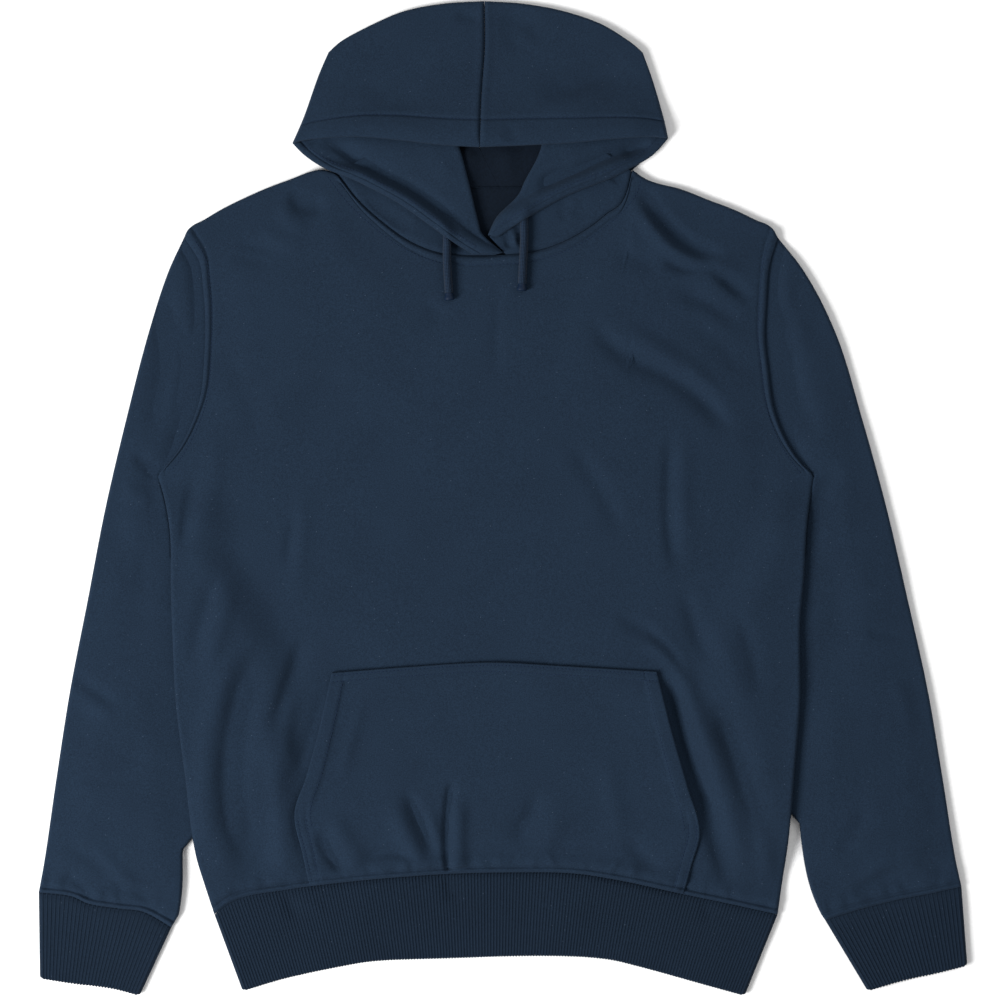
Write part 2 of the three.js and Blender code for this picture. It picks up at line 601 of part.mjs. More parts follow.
/** Place of a pocket point: share runs from left to right and up from the hem seam to the top edge. */
function pocketPlace(share, up) {
  const leftUp = THREE.MathUtils.lerp(POCKET_LEFT[0][1], POCKET_TOP[0][1], up);
  const rightUp = THREE.MathUtils.lerp(POCKET_RIGHT[0][1], POCKET_TOP.at(-1)[1], up);
  const x = THREE.MathUtils.lerp(track(POCKET_LEFT, 1, 0, leftUp), track(POCKET_RIGHT, 1, 0, rightUp), share);
  const topX = THREE.MathUtils.lerp(POCKET_TOP[0][0], POCKET_TOP.at(-1)[0], share);
  const lowX = THREE.MathUtils.lerp(POCKET_LEFT[0][0], POCKET_RIGHT[0][0], share);
  const low = track(HEM_SEAM, 0, 1, lowX) + 2 * SEAM_GAP;
  const y = THREE.MathUtils.lerp(low, track(POCKET_TOP, 0, 1, topX), up);
  return { x, y, leftUp };
}

/** How far the pocket's underside stands off the front: open along the slants, and raised in ridges. */
function pocketRise({ x, y, leftUp }, edge, up) {
  const corner = POCKET_LEFT[2][1];
  const [below, above] = POCKET_OPEN_LOW;
  const open = ease(leftUp, corner + below, corner + above) * ease(leftUp, ...POCKET_OPEN_HIGH);
  const lift = POCKET_LIFT * open * (1 - ease(edge, 0, POCKET_HEM_SHARE * 2));
  const { side, low, high } = POCKET_FOLD_ENDS;
  return lift + foldRise(POCKET_FOLDS, x, y) * ease(edge, ...side) * ease(up, ...low) * ease(up, ...high);
}

/** The hand-warmer pocket, on the front: its slanted edges turned in and standing off a little. */
function pocketWall() {
  const net = [];
  for (let i = 0; i < POCKET_ROWS; i += 1) {
    const up = i / (POCKET_ROWS - 1);
    for (let j = 0; j < POCKET_COLUMNS; j += 1) {
      const even = j / (POCKET_COLUMNS - 1);
      const share = even - POCKET_CROWDING * Math.sin(2 * Math.PI * even) / (2 * Math.PI);
      const place = pocketPlace(share, up);
      const edge = Math.min(share, 1 - share);
      const base = LAID_HEIGHT + POCKET_GAP + pocketRise(place, edge, up);
      const hem = edge < POCKET_HEM_SHARE || up > POCKET_TOP_HEM_SHARE ? POCKET_HEM : 0;
      net.push({ x: place.x, y: place.y, base, hem });
    }
  }
  const under = net.map(({ x, y, base }) => new THREE.Vector3(x, y, base));
  const over = net.map(({ x, y, base, hem }) => new THREE.Vector3(x, y, base + FLEECE + hem));
  return wallOf(over, under, netQuads(POCKET_ROWS, POCKET_COLUMNS));
}

const HOODS = {
  left: {
    hand: 'left', face: FACE_EDGE_LEFT, crown: CROWN_FOLD_LEFT, side: HOOD_SIDE_LEFT,
    fold: LAPEL_FOLD_LEFT, edge: LAPEL_EDGE_LEFT,
  },
  right: {
    hand: 'right', face: FACE_EDGE_RIGHT, crown: CROWN_FOLD_RIGHT, side: HOOD_SIDE_RIGHT,
    fold: LAPEL_FOLD_RIGHT, edge: LAPEL_EDGE_RIGHT,
  },
};
const HOOD_SHARES = [0, 0.012, 0.04, 0.13, 0.25, 0.38, 0.52, 0.66, 0.82, 1];
const CASING_STEP = 0.012;
const HOOD_LEVELS = [
  0, 0.03, CASING_SHARE - CASING_STEP, CASING_SHARE + CASING_STEP, 0.36, 0.54, 0.72, 0.88, 0.97, 0.99, 1,
];
const HOOD_BACK_ROWS = [0.5, 1];
const NECK_SHARES = BODY_ACROSS.filter((share) => share >= NECK_LEFT_SHARE && share <= NECK_RIGHT_SHARE);
const HOOD_DEPTH = 127; // from face edge to crown fold
// Shares of the neck seams at which each half of the hood starts and ends
const BACK_NECK_ENDS = { left: [0.01, 0.55], right: [0.99, 0.55] };
const FRONT_NECK_ENDS = { left: [0.004, 0.52], right: [0.996, 0.55] };

/** Plan of half the crown: share 0 is its side fold and 1 the middle seam; along 0 is the face edge. */
function crownPlan({ hand, face, crown, side }) {
  const [faceCurve, crownCurve, sideCurve, middleCurve] = [face, crown, side, HOOD_MIDDLE].map(curveOf);
  const gap = (hand === 'left' ? -1 : 1) * (SEAM_GAP / 2);
  const chord = (share, along) => between(faceCurve.getPointAt(share), crownCurve.getPointAt(share), along);
  return (share, along) => {
    const sideOff = sideCurve.getPointAt(along).sub(chord(0, along));
    const middleOff = middleCurve.getPointAt(along).sub(chord(1, along));
    const point = chord(share, along)
      .add(sideOff.multiplyScalar(1 - share)).add(middleOff.multiplyScalar(share));
    point.x += gap * share;
    return point;
  };
}

/** A body panel's neck edge, from one end to the other, moved into the hood by the seam's gap. */
function neckLine(neck, [from, to]) {
  const left = ARMHOLE_LEFT.at(-1)[0];
  const right = ARMHOLE_RIGHT.at(-1)[0];
  const corners = NECK_SHARES.map((share) => THREE.MathUtils.lerp(left, right, share))
    .map((x) => new THREE.Vector2(x, bodyTop(x, neck)));
  const line = lineOf(corners, SEAM_GAP);
  return (share) => line.getPointAt(THREE.MathUtils.lerp(from, to, share));
}

/** Plan of the hood's back under its mouth, from the face edge (0) down to the back neck seam (1). */
function hoodBackPlan({ hand, face }) {
  const faceCurve = curveOf(face);
  const seam = neckLine(BACK_NECK, BACK_NECK_ENDS[hand]);
  const gap = (hand === 'left' ? -1 : 1) * (SEAM_GAP / 2);
  return (share, down) => {
    const point = between(faceCurve.getPointAt(share), seam(share), down);
    point.x += gap * share;
    return point;
  };
}

/** Levels of the crown and of the back under it, outside and inside the wall, at a place of one half. */
function crownLevels(share, along, width) {
  const raised = CROWN_TIP_SHARE + (1 - CROWN_TIP_SHARE) * ease(share, 0, CROWN_TIP_WIDTH);
  const height = LAID_HEIGHT + CROWN_RISE * ease(along, CROWN_FLAT, 0) * raised;
  const wall = along < CASING_SHARE ? CASING_WALL : FLEECE;
  const bottom = edgeFall(Math.min(share * width, (1 - along) * HOOD_DEPTH), EDGE_RADIUS);
  const top = height - bottom * (height - MIDDLE) / EDGE_RADIUS;
  const middle = (top + bottom) / 2;
  if (share === 0 || along === 1) return { outer: [middle, middle], inner: [middle, middle] };
  const innerTop = Math.min(height - wall, top - WALL_LEAST);
  return { outer: [top, bottom], inner: [innerTop, Math.max(FLEECE, bottom + WALL_LEAST)] };
}

/** Outer and inner points of half the hood: the crown, the back under it, and the back under the mouth. */
function crownPoints(sizes) {
  const plan = crownPlan(sizes);
  const backPlan = hoodBackPlan(sizes);
  const width = plan(0, 0).distanceTo(plan(1, 0));
  const inward = sizes.hand === 'left' ? FLEECE : -FLEECE;
  const outer = [];
  const inner = [];
  for (const layer of [0, 1]) {
    for (const along of HOOD_LEVELS) {
      for (const share of HOOD_SHARES) {
        const place = plan(share, along);
        const levels = crownLevels(share, along, width);
        const insideX = place.x + inward * (1 - share) ** FOLD_SHARPNESS;
        const insideY = place.y - FLEECE * along ** FOLD_SHARPNESS;
        outer.push(new THREE.Vector3(place.x, place.y, levels.outer[layer]));
        inner.push(new THREE.Vector3(insideX, insideY, levels.inner[layer]));
      }
    }
  }
  for (const down of HOOD_BACK_ROWS) {
    for (const share of HOOD_SHARES) {
      const place = backPlan(share, down);
      outer.push(new THREE.Vector3(place.x, place.y, 0));
      inner.push(new THREE.Vector3(place.x, place.y, FLEECE));
    }
  }
  return { outer, inner };
}

/** Back and crown of one half of the hood: one wall, folded over at the side and along the crown. */
function crownWall(sizes) {
  const { outer, inner } = crownPoints(sizes);
  const columns = HOOD_SHARES.length;
  const rows = HOOD_LEVELS.length;
  const flip = sizes.hand === 'right';
  const half = rows * columns;
  const lowerRow = (i) => (i < 0 ? 2 * half + (-i - 1) * columns : half + i * columns);
  const quads = netQuads(rows, columns, 0, flip);
  for (let i = -HOOD_BACK_ROWS.length; i < rows - 1; i += 1) {
    for (let j = 0; j < columns - 1; j += 1) {
      const a = lowerRow(i) + j;
      const b = lowerRow(i + 1) + j;
      const quad = [b, b + 1, a + 1, a];
      quads.push(flip ? quad.reverse() : quad);
    }
  }
  const shared = (index) => {
    if (index < half || index >= 2 * half) return index;
    const row = Math.floor((index - half) / columns);
    const column = (index - half) % columns;
    return column === 0 || row === rows - 1 ? index - half : index;
  };
  return wallOf(outer, inner, quads.map((quad) => quad.map(shared)));
}

const LAPEL_ROWS = 12;
const LAPEL_OVER = [0, 0.05, 0.16, 0.32, 0.48, 0.62, 0.8, 0.94];
const LAPEL_BELOW = [0.06, 0.3, 0.6, 0.85, 1];

const LAPEL_NARROWEST = 8; // width of hood front at which the wall inside its fold stops thinning

/** Roll of the casing and drop of the lapel's edge, at a share from free edge to fold. */
function lapelShape(share, along) {
  const crest = Math.sin(Math.PI * Math.min(1, share / LAPEL_ROLL_WIDTH + LAPEL_ROLL_PEAK)) ** 0.8;
  const ends = ease(share, ...LAPEL_ROLL_END)
    * ease(along, ...LAPEL_ROLL_SIDE) * ease(along, ...LAPEL_ROLL_FRONT);
  const lip = share === 0 ? LAPEL_LIP : 0;
  const drop = LAPEL_SINK * ease(along, ...LAPEL_SINK_ALONG) * ease(share, ...LAPEL_SINK_ACROSS);
  return { roll: LAPEL_ROLL * crest * ends - lip, drop };
}

/** Front of one half of the hood: up from the neck seam, folded over as a lapel to its free edge. */
function lapelWall(sizes) {
  const [foldCurve, edgeCurve] = [sizes.fold, sizes.edge].map(curveOf);
  const neck = neckLine(FRONT_NECK, FRONT_NECK_ENDS[sizes.hand]);
  const middle = (LAPEL_TOP + FRONT_LAYER) / 2;
  const outer = [];
  const inner = [];
  for (let i = 0; i < LAPEL_ROWS; i += 1) {
    const along = i / (LAPEL_ROWS - 1);
    const fold = foldCurve.getPointAt(along);
    const edge = edgeCurve.getPointAt(along);
    const seam = neck(along);
    for (const share of LAPEL_OVER) {
      const place = between(edge, fold, share);
      const { roll, drop } = lapelShape(share, along);
      outer.push(new THREE.Vector3(place.x, place.y, LAPEL_TOP + roll - drop));
      inner.push(new THREE.Vector3(place.x, place.y, LAPEL_UNDER - drop));
    }
    const inside = between(fold, seam, FLEECE / Math.max(LAPEL_NARROWEST, fold.distanceTo(seam)));
    outer.push(new THREE.Vector3(fold.x, fold.y, middle));
    inner.push(new THREE.Vector3(inside.x, inside.y, middle));
    for (const share of LAPEL_BELOW) {
      const place = between(fold, seam, share);
      outer.push(new THREE.Vector3(place.x, place.y, FRONT_LAYER));
      inner.push(new THREE.Vector3(place.x, place.y, LAID_HEIGHT));
    }
  }
  const columns = LAPEL_OVER.length + 1 + LAPEL_BELOW.length;
  return wallOf(outer, inner, netQuads(LAPEL_ROWS, columns, 0, sizes.hand === 'left'));
}

const manifoldLibrary = await Module();
manifoldLibrary.setup();

/** Makes a solid for joining from a closed geometry. */
function solidOf(geometry) {
  return new manifoldLibrary.Manifold(new manifoldLibrary.Mesh({
    numProp: 3,
    vertProperties: new Float32Array(geometry.getAttribute('position').array),
    triVerts: new Uint32Array(geometry.getIndex().array),
  }));
}

/** Joins closed geometries into one. */
function joined(geometries) {
  const whole = geometries.map(solidOf).reduce((a, b) => a.add(b));
  const { vertProperties, triVerts } = whole.getMesh();
  const geometry = new THREE.BufferGeometry();
  geometry.setAttribute('position', new THREE.BufferAttribute(vertProperties, 3));
  geometry.setIndex(new THREE.BufferAttribute(triVerts, 1));
  return geometry;
}

/** A drawcord's free end: a round tube along its route. */
function cordTube(route) {
  const section = new THREE.Shape();
  for (let i = 0; i < CORD_SIDES; i += 1) {
    const angle = (2 * Math.PI * i) / CORD_SIDES;
    const x = (CORD_DIAMETER / 2) * Math.cos(angle);
    const y = (CORD_DIAMETER / 2) * Math.sin(angle);
    if (i === 0) section.moveTo(x, y);
    else section.lineTo(x, y);
  }
  const path = new THREE.CatmullRomCurve3(route.map((point) => new THREE.Vector3(...point)));
  return new THREE.ExtrudeGeometry(section, { steps: 4, bevelEnabled: false, extrudePath: path });
}

/** The sealed end of a drawcord, flaring a little away from the cord. */
function cordTip() {
  const profile = [
    [0, 0], [TIP_NECK_RADIUS, 0], [TIP_END_RADIUS, TIP_LENGTH - TIP_ROUNDING],
    [TIP_END_RADIUS - TIP_ROUNDING, TIP_LENGTH], [0, TIP_LENGTH],
  ].map(([radius, along]) => new THREE.Vector2(radius, along));
  return new THREE.LatheGeometry(profile, CORD_SIDES);
}

const FLEECE_LOOK = { color: 0x233142, roughness: 0.95, metalness: 0 };
const RIB_LOOK = { color: 0x212f40, roughness: 0.93, metalness: 0 };
const CORD_LOOK = { color: 0x2b3b50, roughness: 0.85, metalness: 0 };
const TIP_LOOK = { color: 0x12243b, roughness: 0.5, metalness: 0 };

const hoodie = new THREE.Group();

/** Adds one named piece to the garment. */
function addPiece(name, geometry, look) {
  const mesh = new THREE.Mesh(geometry, new THREE.MeshStandardMaterial(look));
  mesh.name = name;
  hoodie.add(mesh);
  return mesh;
}

addPiece('back_body', bodyPanel(BACK_NECK, false), FLEECE_LOOK);
addPiece('front_body', bodyPanel(FRONT_NECK, true), FLEECE_LOOK);
addPiece('sleeve_left', sleeveTube(SLEEVES.left), FLEECE_LOOK);
addPiece('sleeve_right', sleeveTube(SLEEVES.right), FLEECE_LOOK);
addPiece('cuff_left', ribBand(cuffSeam(CUFF_SEAM_LEFT, false), CUFF_FOLD_LEFT, CUFF_RIBS), RIB_LOOK);
addPiece('cuff_right', ribBand(cuffSeam(CUFF_SEAM_RIGHT, true), CUFF_FOLD_RIGHT, CUFF_RIBS), RIB_LOOK);
addPiece('hem_band', ribBand(hemSeam(), HEM_FOLD, HEM_RIBS), RIB_LOOK);
addPiece('kangaroo_pocket', pocketWall(), FLEECE_LOOK);
for (const hand of ['left', 'right']) {
  const panel = joined([crownWall(HOODS[hand]), lapelWall(HOODS[hand])]);
  addPiece(`hood_${hand}_panel`, panel, FLEECE_LOOK);
}
for (const [hand, route] of [['left', CORD_LEFT], ['right', CORD_RIGHT]]) {
  addPiece(`drawcord_${hand}`, cordTube(route), CORD_LOOK);
  const [endX, endY, endZ] = route.at(-1);
  const tip = addPiece(`cord_tip_${hand}`, cordTip(), TIP_LOOK);
  tip.rotation.z = Math.PI;
  tip.position.set(endX, endY - SEAM_GAP, endZ);
}

export default hoodie;
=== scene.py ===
import logging
import math
from dataclasses import dataclass, field
from enum import Enum

import bpy
import numpy as np
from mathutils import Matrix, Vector
from mathutils.bvhtree import BVHTree


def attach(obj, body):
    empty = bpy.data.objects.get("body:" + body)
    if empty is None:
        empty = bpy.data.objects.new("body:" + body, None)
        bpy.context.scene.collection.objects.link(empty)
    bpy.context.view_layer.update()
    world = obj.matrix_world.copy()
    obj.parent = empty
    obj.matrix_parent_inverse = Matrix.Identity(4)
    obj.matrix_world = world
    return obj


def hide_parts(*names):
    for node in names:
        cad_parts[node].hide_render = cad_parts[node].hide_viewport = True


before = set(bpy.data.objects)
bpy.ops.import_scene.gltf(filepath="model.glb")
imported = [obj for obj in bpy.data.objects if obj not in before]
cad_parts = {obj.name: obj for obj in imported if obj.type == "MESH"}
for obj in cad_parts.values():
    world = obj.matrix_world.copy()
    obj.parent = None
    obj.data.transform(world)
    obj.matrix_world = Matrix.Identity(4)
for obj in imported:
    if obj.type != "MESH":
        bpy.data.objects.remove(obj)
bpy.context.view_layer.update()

LOG = logging.getLogger("hoodie")
MM = 0.001

# The picture's frame: its width on the table, and its middle
FRAME_WIDTH = 860.0
FRAME_MIDDLE = (-2.58, -1.72)

# Cloth and layers
FLEECE = 2.2
LAID = 6.4
MIDDLE = LAID / 2
RADIUS = LAID / 2
SEAM_GAP = 0.3
SLEEVE_CLEARANCE = 0.9
BAND_HEIGHT = 6.6
RIB_WALL = 2.8
# Air between the body's layers, over its middle
BODY_PUFF = 2.8
# A sleeve from its tip to its cuff, which its rows are set out on
SLEEVE_RUN = 593
# Ribs across the upper side of each band, and half a rib's width
HEM_RIBS = 174
CUFF_RIBS = 31
RIB_RADIUS = 0.98
# Topstitching: from stitch to stitch, a stitch's length, and the thread's width
STITCH_PITCH = 3.2
STITCH_LENGTH = 1.15
THREAD_WIDTH = 0.34

# Outline tables: [across, up]
SIDE = {
    "left": [(-248, -358), (-256, -333), (-264, -305), (-273, -238), (-281, -174), (-283, -135), (-285, -78),
             (-286, -28), (-291, 0), (-297, 19)],
    "right": [(236, -358), (238, -343), (245, -294), (251, -225), (255, -174), (255, -107), (258, -71),
              (261, -22), (265, 7), (267, 19)],
}
ARMHOLE = {
    "left": [(-297, 19), (-280, 40), (-267, 66), (-260, 88), (-257, 117), (-256, 158), (-258, 182),
             (-261, 203), (-274, 224)],
    "right": [(267, 19), (256, 30), (243, 50), (233, 76), (228, 109), (225, 137), (226, 165), (229, 200),
              (236, 224)],
}
SHOULDER = {
    "left": [(-274, 224), (-271, 230), (-257, 239), (-242, 248), (-226, 256), (-206, 265), (-185, 273),
             (-158, 282), (-144, 280)],
    "right": [(111, 282), (123, 274), (154, 265), (177, 256), (198, 248), (217, 239), (232, 231), (236, 224)],
}
FRONT_NECK = [(-144, 280), (-126, 257), (-104, 237), (-83, 222), (-60, 212), (-43, 209), (1, 209), (28, 212),
              (60, 224), (89, 244), (107, 264), (111, 282)]
BACK_NECK = [(-144, 280), (-106, 273), (-54, 269), (0, 268), (49, 269), (83, 273), (111, 282)]
HEM_SEAM = [(-248, -358), (-233, -347), (-187, -337), (-132, -330), (-88, -326), (-41, -323), (6, -322),
            (62, -323), (101, -329), (152, -340), (200, -350), (236, -358)]
HEM_FOLD = [(-224, -423), (-187, -412), (-140, -402), (-106, -397), (-46, -395), (32, -393), (83, -395),
            (117, -402), (175, -418), (208, -427)]
SLEEVE_TOP = {
    "left": [(-274, 224), (-287, 196), (-304, 144), (-324, 67), (-342, -10), (-357, -88), (-372, -165),
             (-384, -242), (-394, -311), (-399, -339)],
    "right": [(236, 224), (258, 196), (285, 144), (309, 67), (330, -10), (348, -88), (365, -165),
              (378, -242), (389, -311), (394, -334)],
}
SLEEVE_SEAM = {
    "left": [(-298, 18), (-292, -2), (-288, -24), (-287, -45), (-268, -75), (-245, -114), (-231, -156),
             (-230, -191), (-237, -238), (-251, -281), (-267, -309), (-274, -335), (-285, -369)],
    "right": [(268, 18), (266, 2), (263, -20), (261, -43), (245, -75), (225, -118), (212, -156),
              (209, -191), (215, -230), (232, -261), (249, -285), (262, -316), (277, -363)],
}
CUFF_SEAM = {
    "left": [(-399, -339), (-372, -342), (-355, -349), (-329, -353), (-308, -356), (-285, -369)],
    "right": [(277, -363), (292, -358), (316, -351), (341, -345), (367, -340), (394, -334)],
}
CUFF_FOLD = {
    "left": [(-398, -412), (-368, -417), (-336, -421), (-312, -427)],
    "right": [(313, -423), (341, -415), (372, -408), (399, -401)],
}
FACE_EDGE = {
    "left": [(-181, 305), (-163, 308), (-126, 310), (-89, 307), (-54, 303), (-20, 301)],
    "right": [(142, 309), (124, 310), (94, 308), (62, 305), (28, 303), (-20, 301)],
}
CROWN_FOLD = {
    "left": [(-150, 383), (-137, 394), (-108, 409), (-83, 419), (-50, 425), (-16, 427)],
    "right": [(120, 383), (108, 393), (83, 408), (50, 419), (16, 425), (-16, 427)],
}
HOOD_SIDE = {
    "left": [(-181, 305), (-171, 328), (-159, 362), (-150, 383)],
    "right": [(142, 309), (138, 327), (129, 358), (120, 383)],
}
HOOD_MIDDLE = [(-20, 301), (-19, 341), (-16, 384), (-16, 427)]
LAPEL_FOLD = {
    "left": [(-46, 334), (-37, 301), (-29, 270), (-21, 237), (-17, 226), (0, 211)],
    "right": [(38, 334), (32, 299), (19, 273), (12, 259), (-5, 242), (-13, 226)],
}
LAPEL_EDGE = {
    "left": [(-181, 305), (-170, 294), (-153, 283), (-128, 273), (-93, 255), (-67, 237), (-45, 221),
             (-26, 209)],
    "right": [(142, 309), (128, 294), (111, 284), (94, 275), (76, 268), (52, 258), (22, 241), (3, 229),
              (-4, 224)],
}
POCKET_LEFT = [(-166, -334), (-172, -307), (-179, -271), (-169, -240), (-157, -195), (-147, -150)]
POCKET_RIGHT = [(155, -338), (162, -313), (169, -286), (158, -245), (145, -200), (132, -149)]
POCKET_TOP = [(-147, -150), (-83, -145), (-11, -141), (50, -144), (132, -149)]
CORD_ROUTE = {
    "left": [(-48, 219.5, 10.7), (-48.2, 209, 10.7), (-47.6, 194, 10.7), (-46.4, 176, 10.7)],
    "right": [(18, 235, 10.7), (18.2, 222, 10.7), (17.3, 204, 10.7), (16.4, 184, 10.7)],
}
CORD_DIAMETER = 7.0

Array = np.ndarray


def ease(value: Array, low: float, high: float) -> Array:
    """Smooth step.

    Args:
        value: where to read it.
        low: place of the value 0, which may be above high.
        high: place of the value 1.

    Returns:
        Values from 0 to 1.
    """
    t = np.clip((np.asarray(value, float) - low) / (high - low), 0.0, 1.0)
    return t * t * (3 - 2 * t)


def bell(value: Array, middle: float, half: float) -> Array:
    """A smooth bump of height 1 about a middle.

    Args:
        value: places.
        middle: where it is highest.
        half: its half width.

    Returns:
        Height at each place.
    """
    return np.exp(-(((value - middle) / half) ** 2))


def track(rows: list[tuple], key: int, read: int, place: Array) -> Array:
    """Reads a table on a smooth line through its rows.

    Args:
        rows: the table.
        key: column that place refers to.
        read: column to read.
        place: where to read it.

    Returns:
        The values read.
    """
    table = np.array(rows, float)
    if table[-1, key] < table[0, key]:
        table = table[::-1]
    keys, values = table[:, key], table[:, read]
    place = np.asarray(place, float)
    i = np.clip(np.searchsorted(keys[1:-1], place), 0, len(keys) - 2)
    slope = np.diff(values) / np.diff(keys)
    last = len(slope) - 1
    before = np.where(i > 0, (slope[i] + slope[np.maximum(i - 1, 0)]) / 2, slope[i])
    after = np.where(i < last, (slope[i] + slope[np.minimum(i + 1, last)]) / 2, slope[i])
    span = keys[i + 1] - keys[i]
    t = np.clip((place - keys[i]) / span, 0, 1)
    return ((2 * t**3 - 3 * t**2 + 1) * values[i] + (t**3 - 2 * t**2 + t) * span * before
            + (3 * t**2 - 2 * t**3) * values[i + 1] + (t**3 - t**2) * span * after)


def smooth_points(rows: list[tuple], each: int = 12) -> Array:
    """Points on a smooth line through the rows.

    Args:
        rows: places, plane or in space.
        each: points for each run between two rows.

    Returns:
        An array of points.
    """
    p = np.array(rows, float)
    if len(p) < 3:
        return np.array([p[0] + (p[-1] - p[0]) * t for t in np.linspace(0, 1, each + 1)])
    out = []
    for i in range(len(p) - 1):
        p0, p1, p2, p3 = p[max(i - 1, 0)], p[i], p[i + 1], p[min(i + 2, len(p) - 1)]
        for t in np.linspace(0, 1, each, endpoint=False):
            v0, v1 = (p2 - p0) / 2, (p3 - p1) / 2
            out.append((2 * p1 - 2 * p2 + v0 + v1) * t**3 + (-3 * p1 + 3 * p2 - 2 * v0 - v1) * t**2
                       + v0 * t + p1)
    return np.array([*out, p[-1]])


class Line:
    """A line through a few places, read by its share of length."""

    def __init__(self, rows: list[tuple], each: int = 12, smooth: bool = True) -> None:
        """Takes the places of the line.

        Args:
            rows: points of the line.
            each: how finely it is drawn.
            smooth: whether it is rounded through its points.
        """
        self.points = smooth_points(rows, each) if smooth else np.array(rows, float)
        steps = np.linalg.norm(np.diff(self.points, axis=0), axis=1)
        self.reach = np.concatenate([[0.0], np.cumsum(steps)])
        self.length = float(self.reach[-1])

    def at(self, share: Array) -> Array:
        """Points at shares of the length, as one more axis.

        Args:
            share: shares of the length.

        Returns:
            The points.
        """
        s = np.clip(share, 0, 1) * self.length
        columns = range(self.points.shape[1])
        return np.stack([np.interp(s, self.reach, self.points[:, k]) for k in columns], -1)

    def nearest(self, x: Array, y: Array) -> tuple[Array, Array, Array]:
        """Measures from the line in plan.

        Args:
            x: places across.
            y: places up.

        Returns:
            The distance, the side (1 is left of the line's run) and the share of its length.
        """
        best = np.full(x.shape, 1e12)
        side = np.zeros(x.shape)
        share = np.zeros(x.shape)
        for (ax, ay), (bx, by), start in zip(self.points[:-1, :2], self.points[1:, :2], self.reach):
            dx, dy = bx - ax, by - ay
            length = math.hypot(dx, dy) or 1e-9
            t = np.clip(((x - ax) * dx + (y - ay) * dy) / length**2, 0, 1)
            ox, oy = x - ax - t * dx, y - ay - t * dy
            away = ox * ox + oy * oy
            closer = away < best
            best = np.where(closer, away, best)
            side = np.where(closer, np.sign(dx * oy - dy * ox), side)
            share = np.where(closer, (start + t * length) / self.length, share)
        return np.sqrt(best), side, share

    def beside(self, distance: float) -> "Line":
        """The same line moved to its left by a distance.

        Args:
            distance: how far; below zero is to its right.

        Returns:
            The moved line.
        """
        run = np.gradient(self.points[:, :2], axis=0)
        run /= np.linalg.norm(run, axis=1)[:, None] + 1e-9
        moved = self.points[:, :2] + np.stack([-run[:, 1], run[:, 0]], -1) * distance
        return Line([tuple(p) for p in moved], smooth=False)

    def part(self, low: float, high: float) -> "Line":
        """The stretch between two shares of the length."""
        return Line([tuple(p) for p in self.at(np.linspace(low, high, 60))], smooth=False)


@dataclass(frozen=True)
class Crease:
    """A soft ridge, or a trough where rise is below 0, along a smooth line in the cloth."""

    path: tuple[tuple[float, float], ...]
    half: float
    rise: float
    skew: float = 0.0
    fade: float = 0.35

    def height(self, x: Array, y: Array) -> Array:
        """Height that the crease adds at places in plan.

        Args:
            x: places across.
            y: places up the garment.

        Returns:
            Height at each place.
        """
        line = Line(list(self.path), 6)
        reach = 3.2 * self.half
        low, high = line.points.min(0) - reach, line.points.max(0) + reach
        near = (x > low[0]) & (x < high[0]) & (y > low[1]) & (y < high[1])
        total = np.zeros(x.shape)
        if near.any():
            away, side, share = line.nearest(x[near], y[near])
            ends = ease(share, 0, self.fade) * ease(share, 1, 1 - self.fade) if self.fade else 1.0
            total[near] = self.rise * ends * np.exp(-((away / (self.half * (1 + self.skew * side))) ** 2))
        return total


@dataclass(frozen=True)
class SeamDress:
    """How cloth lies beside a seam: a dip at it, a ridge of turned cloth, and a topstitched groove."""

    dip: float = 1.3
    dip_half: float = 1.3
    ridge: float = 0.8
    ridge_at: float = 3.8
    ridge_half: float = 2.6
    groove: float = 0.5
    groove_at: float = 6.4
    groove_half: float = 1.1
    puff: float = 0.0
    puff_at: float = 12.0
    puff_half: float = 6.0

    def height(self, away: Array) -> Array:
        """Height that the seam adds at a distance from it.

        Args:
            away: distance from the seam.

        Returns:
            Height at each distance.
        """
        return (-self.dip * bell(away, 0, self.dip_half)
                + self.ridge * bell(away, self.ridge_at, self.ridge_half)
                - self.groove * bell(away, self.groove_at, self.groove_half)
                + self.puff * bell(away, self.puff_at, self.puff_half))


def relief(x: Array, y: Array, creases: tuple[Crease, ...]) -> Array:
    """Sum of the creases at places in plan.

    Args:
        x: places across.
        y: places up the garment.
        creases: the creases.

    Returns:
        Their height together.
    """
    total = np.zeros(x.shape)
    for crease in creases:
        total += crease.height(x, y)
    return total


def unevenness(x: Array, y: Array, seed: int, height: float) -> Array:
    """Gentle waves of cloth that lies without being pressed.

    Args:
        x: places across.
        y: places up.
        seed: fixes the waves.
        height: how high they are.

    Returns:
        Heights about zero.
    """
    random = np.random.default_rng(seed)
    total = np.zeros(x.shape)
    for wave, share in ((120.0, 1.0), (64.0, 0.6), (33.0, 0.34), (17.0, 0.18), (9.0, 0.08)):
        for _ in range(4):
            angle, phase = random.uniform(0, 2 * math.pi, 2)
            size = wave * random.uniform(0.8, 1.25)
            total += share * np.sin(2 * math.pi * (x * math.cos(angle) + y * math.sin(angle)) / size + phase)
    return height * total / 4


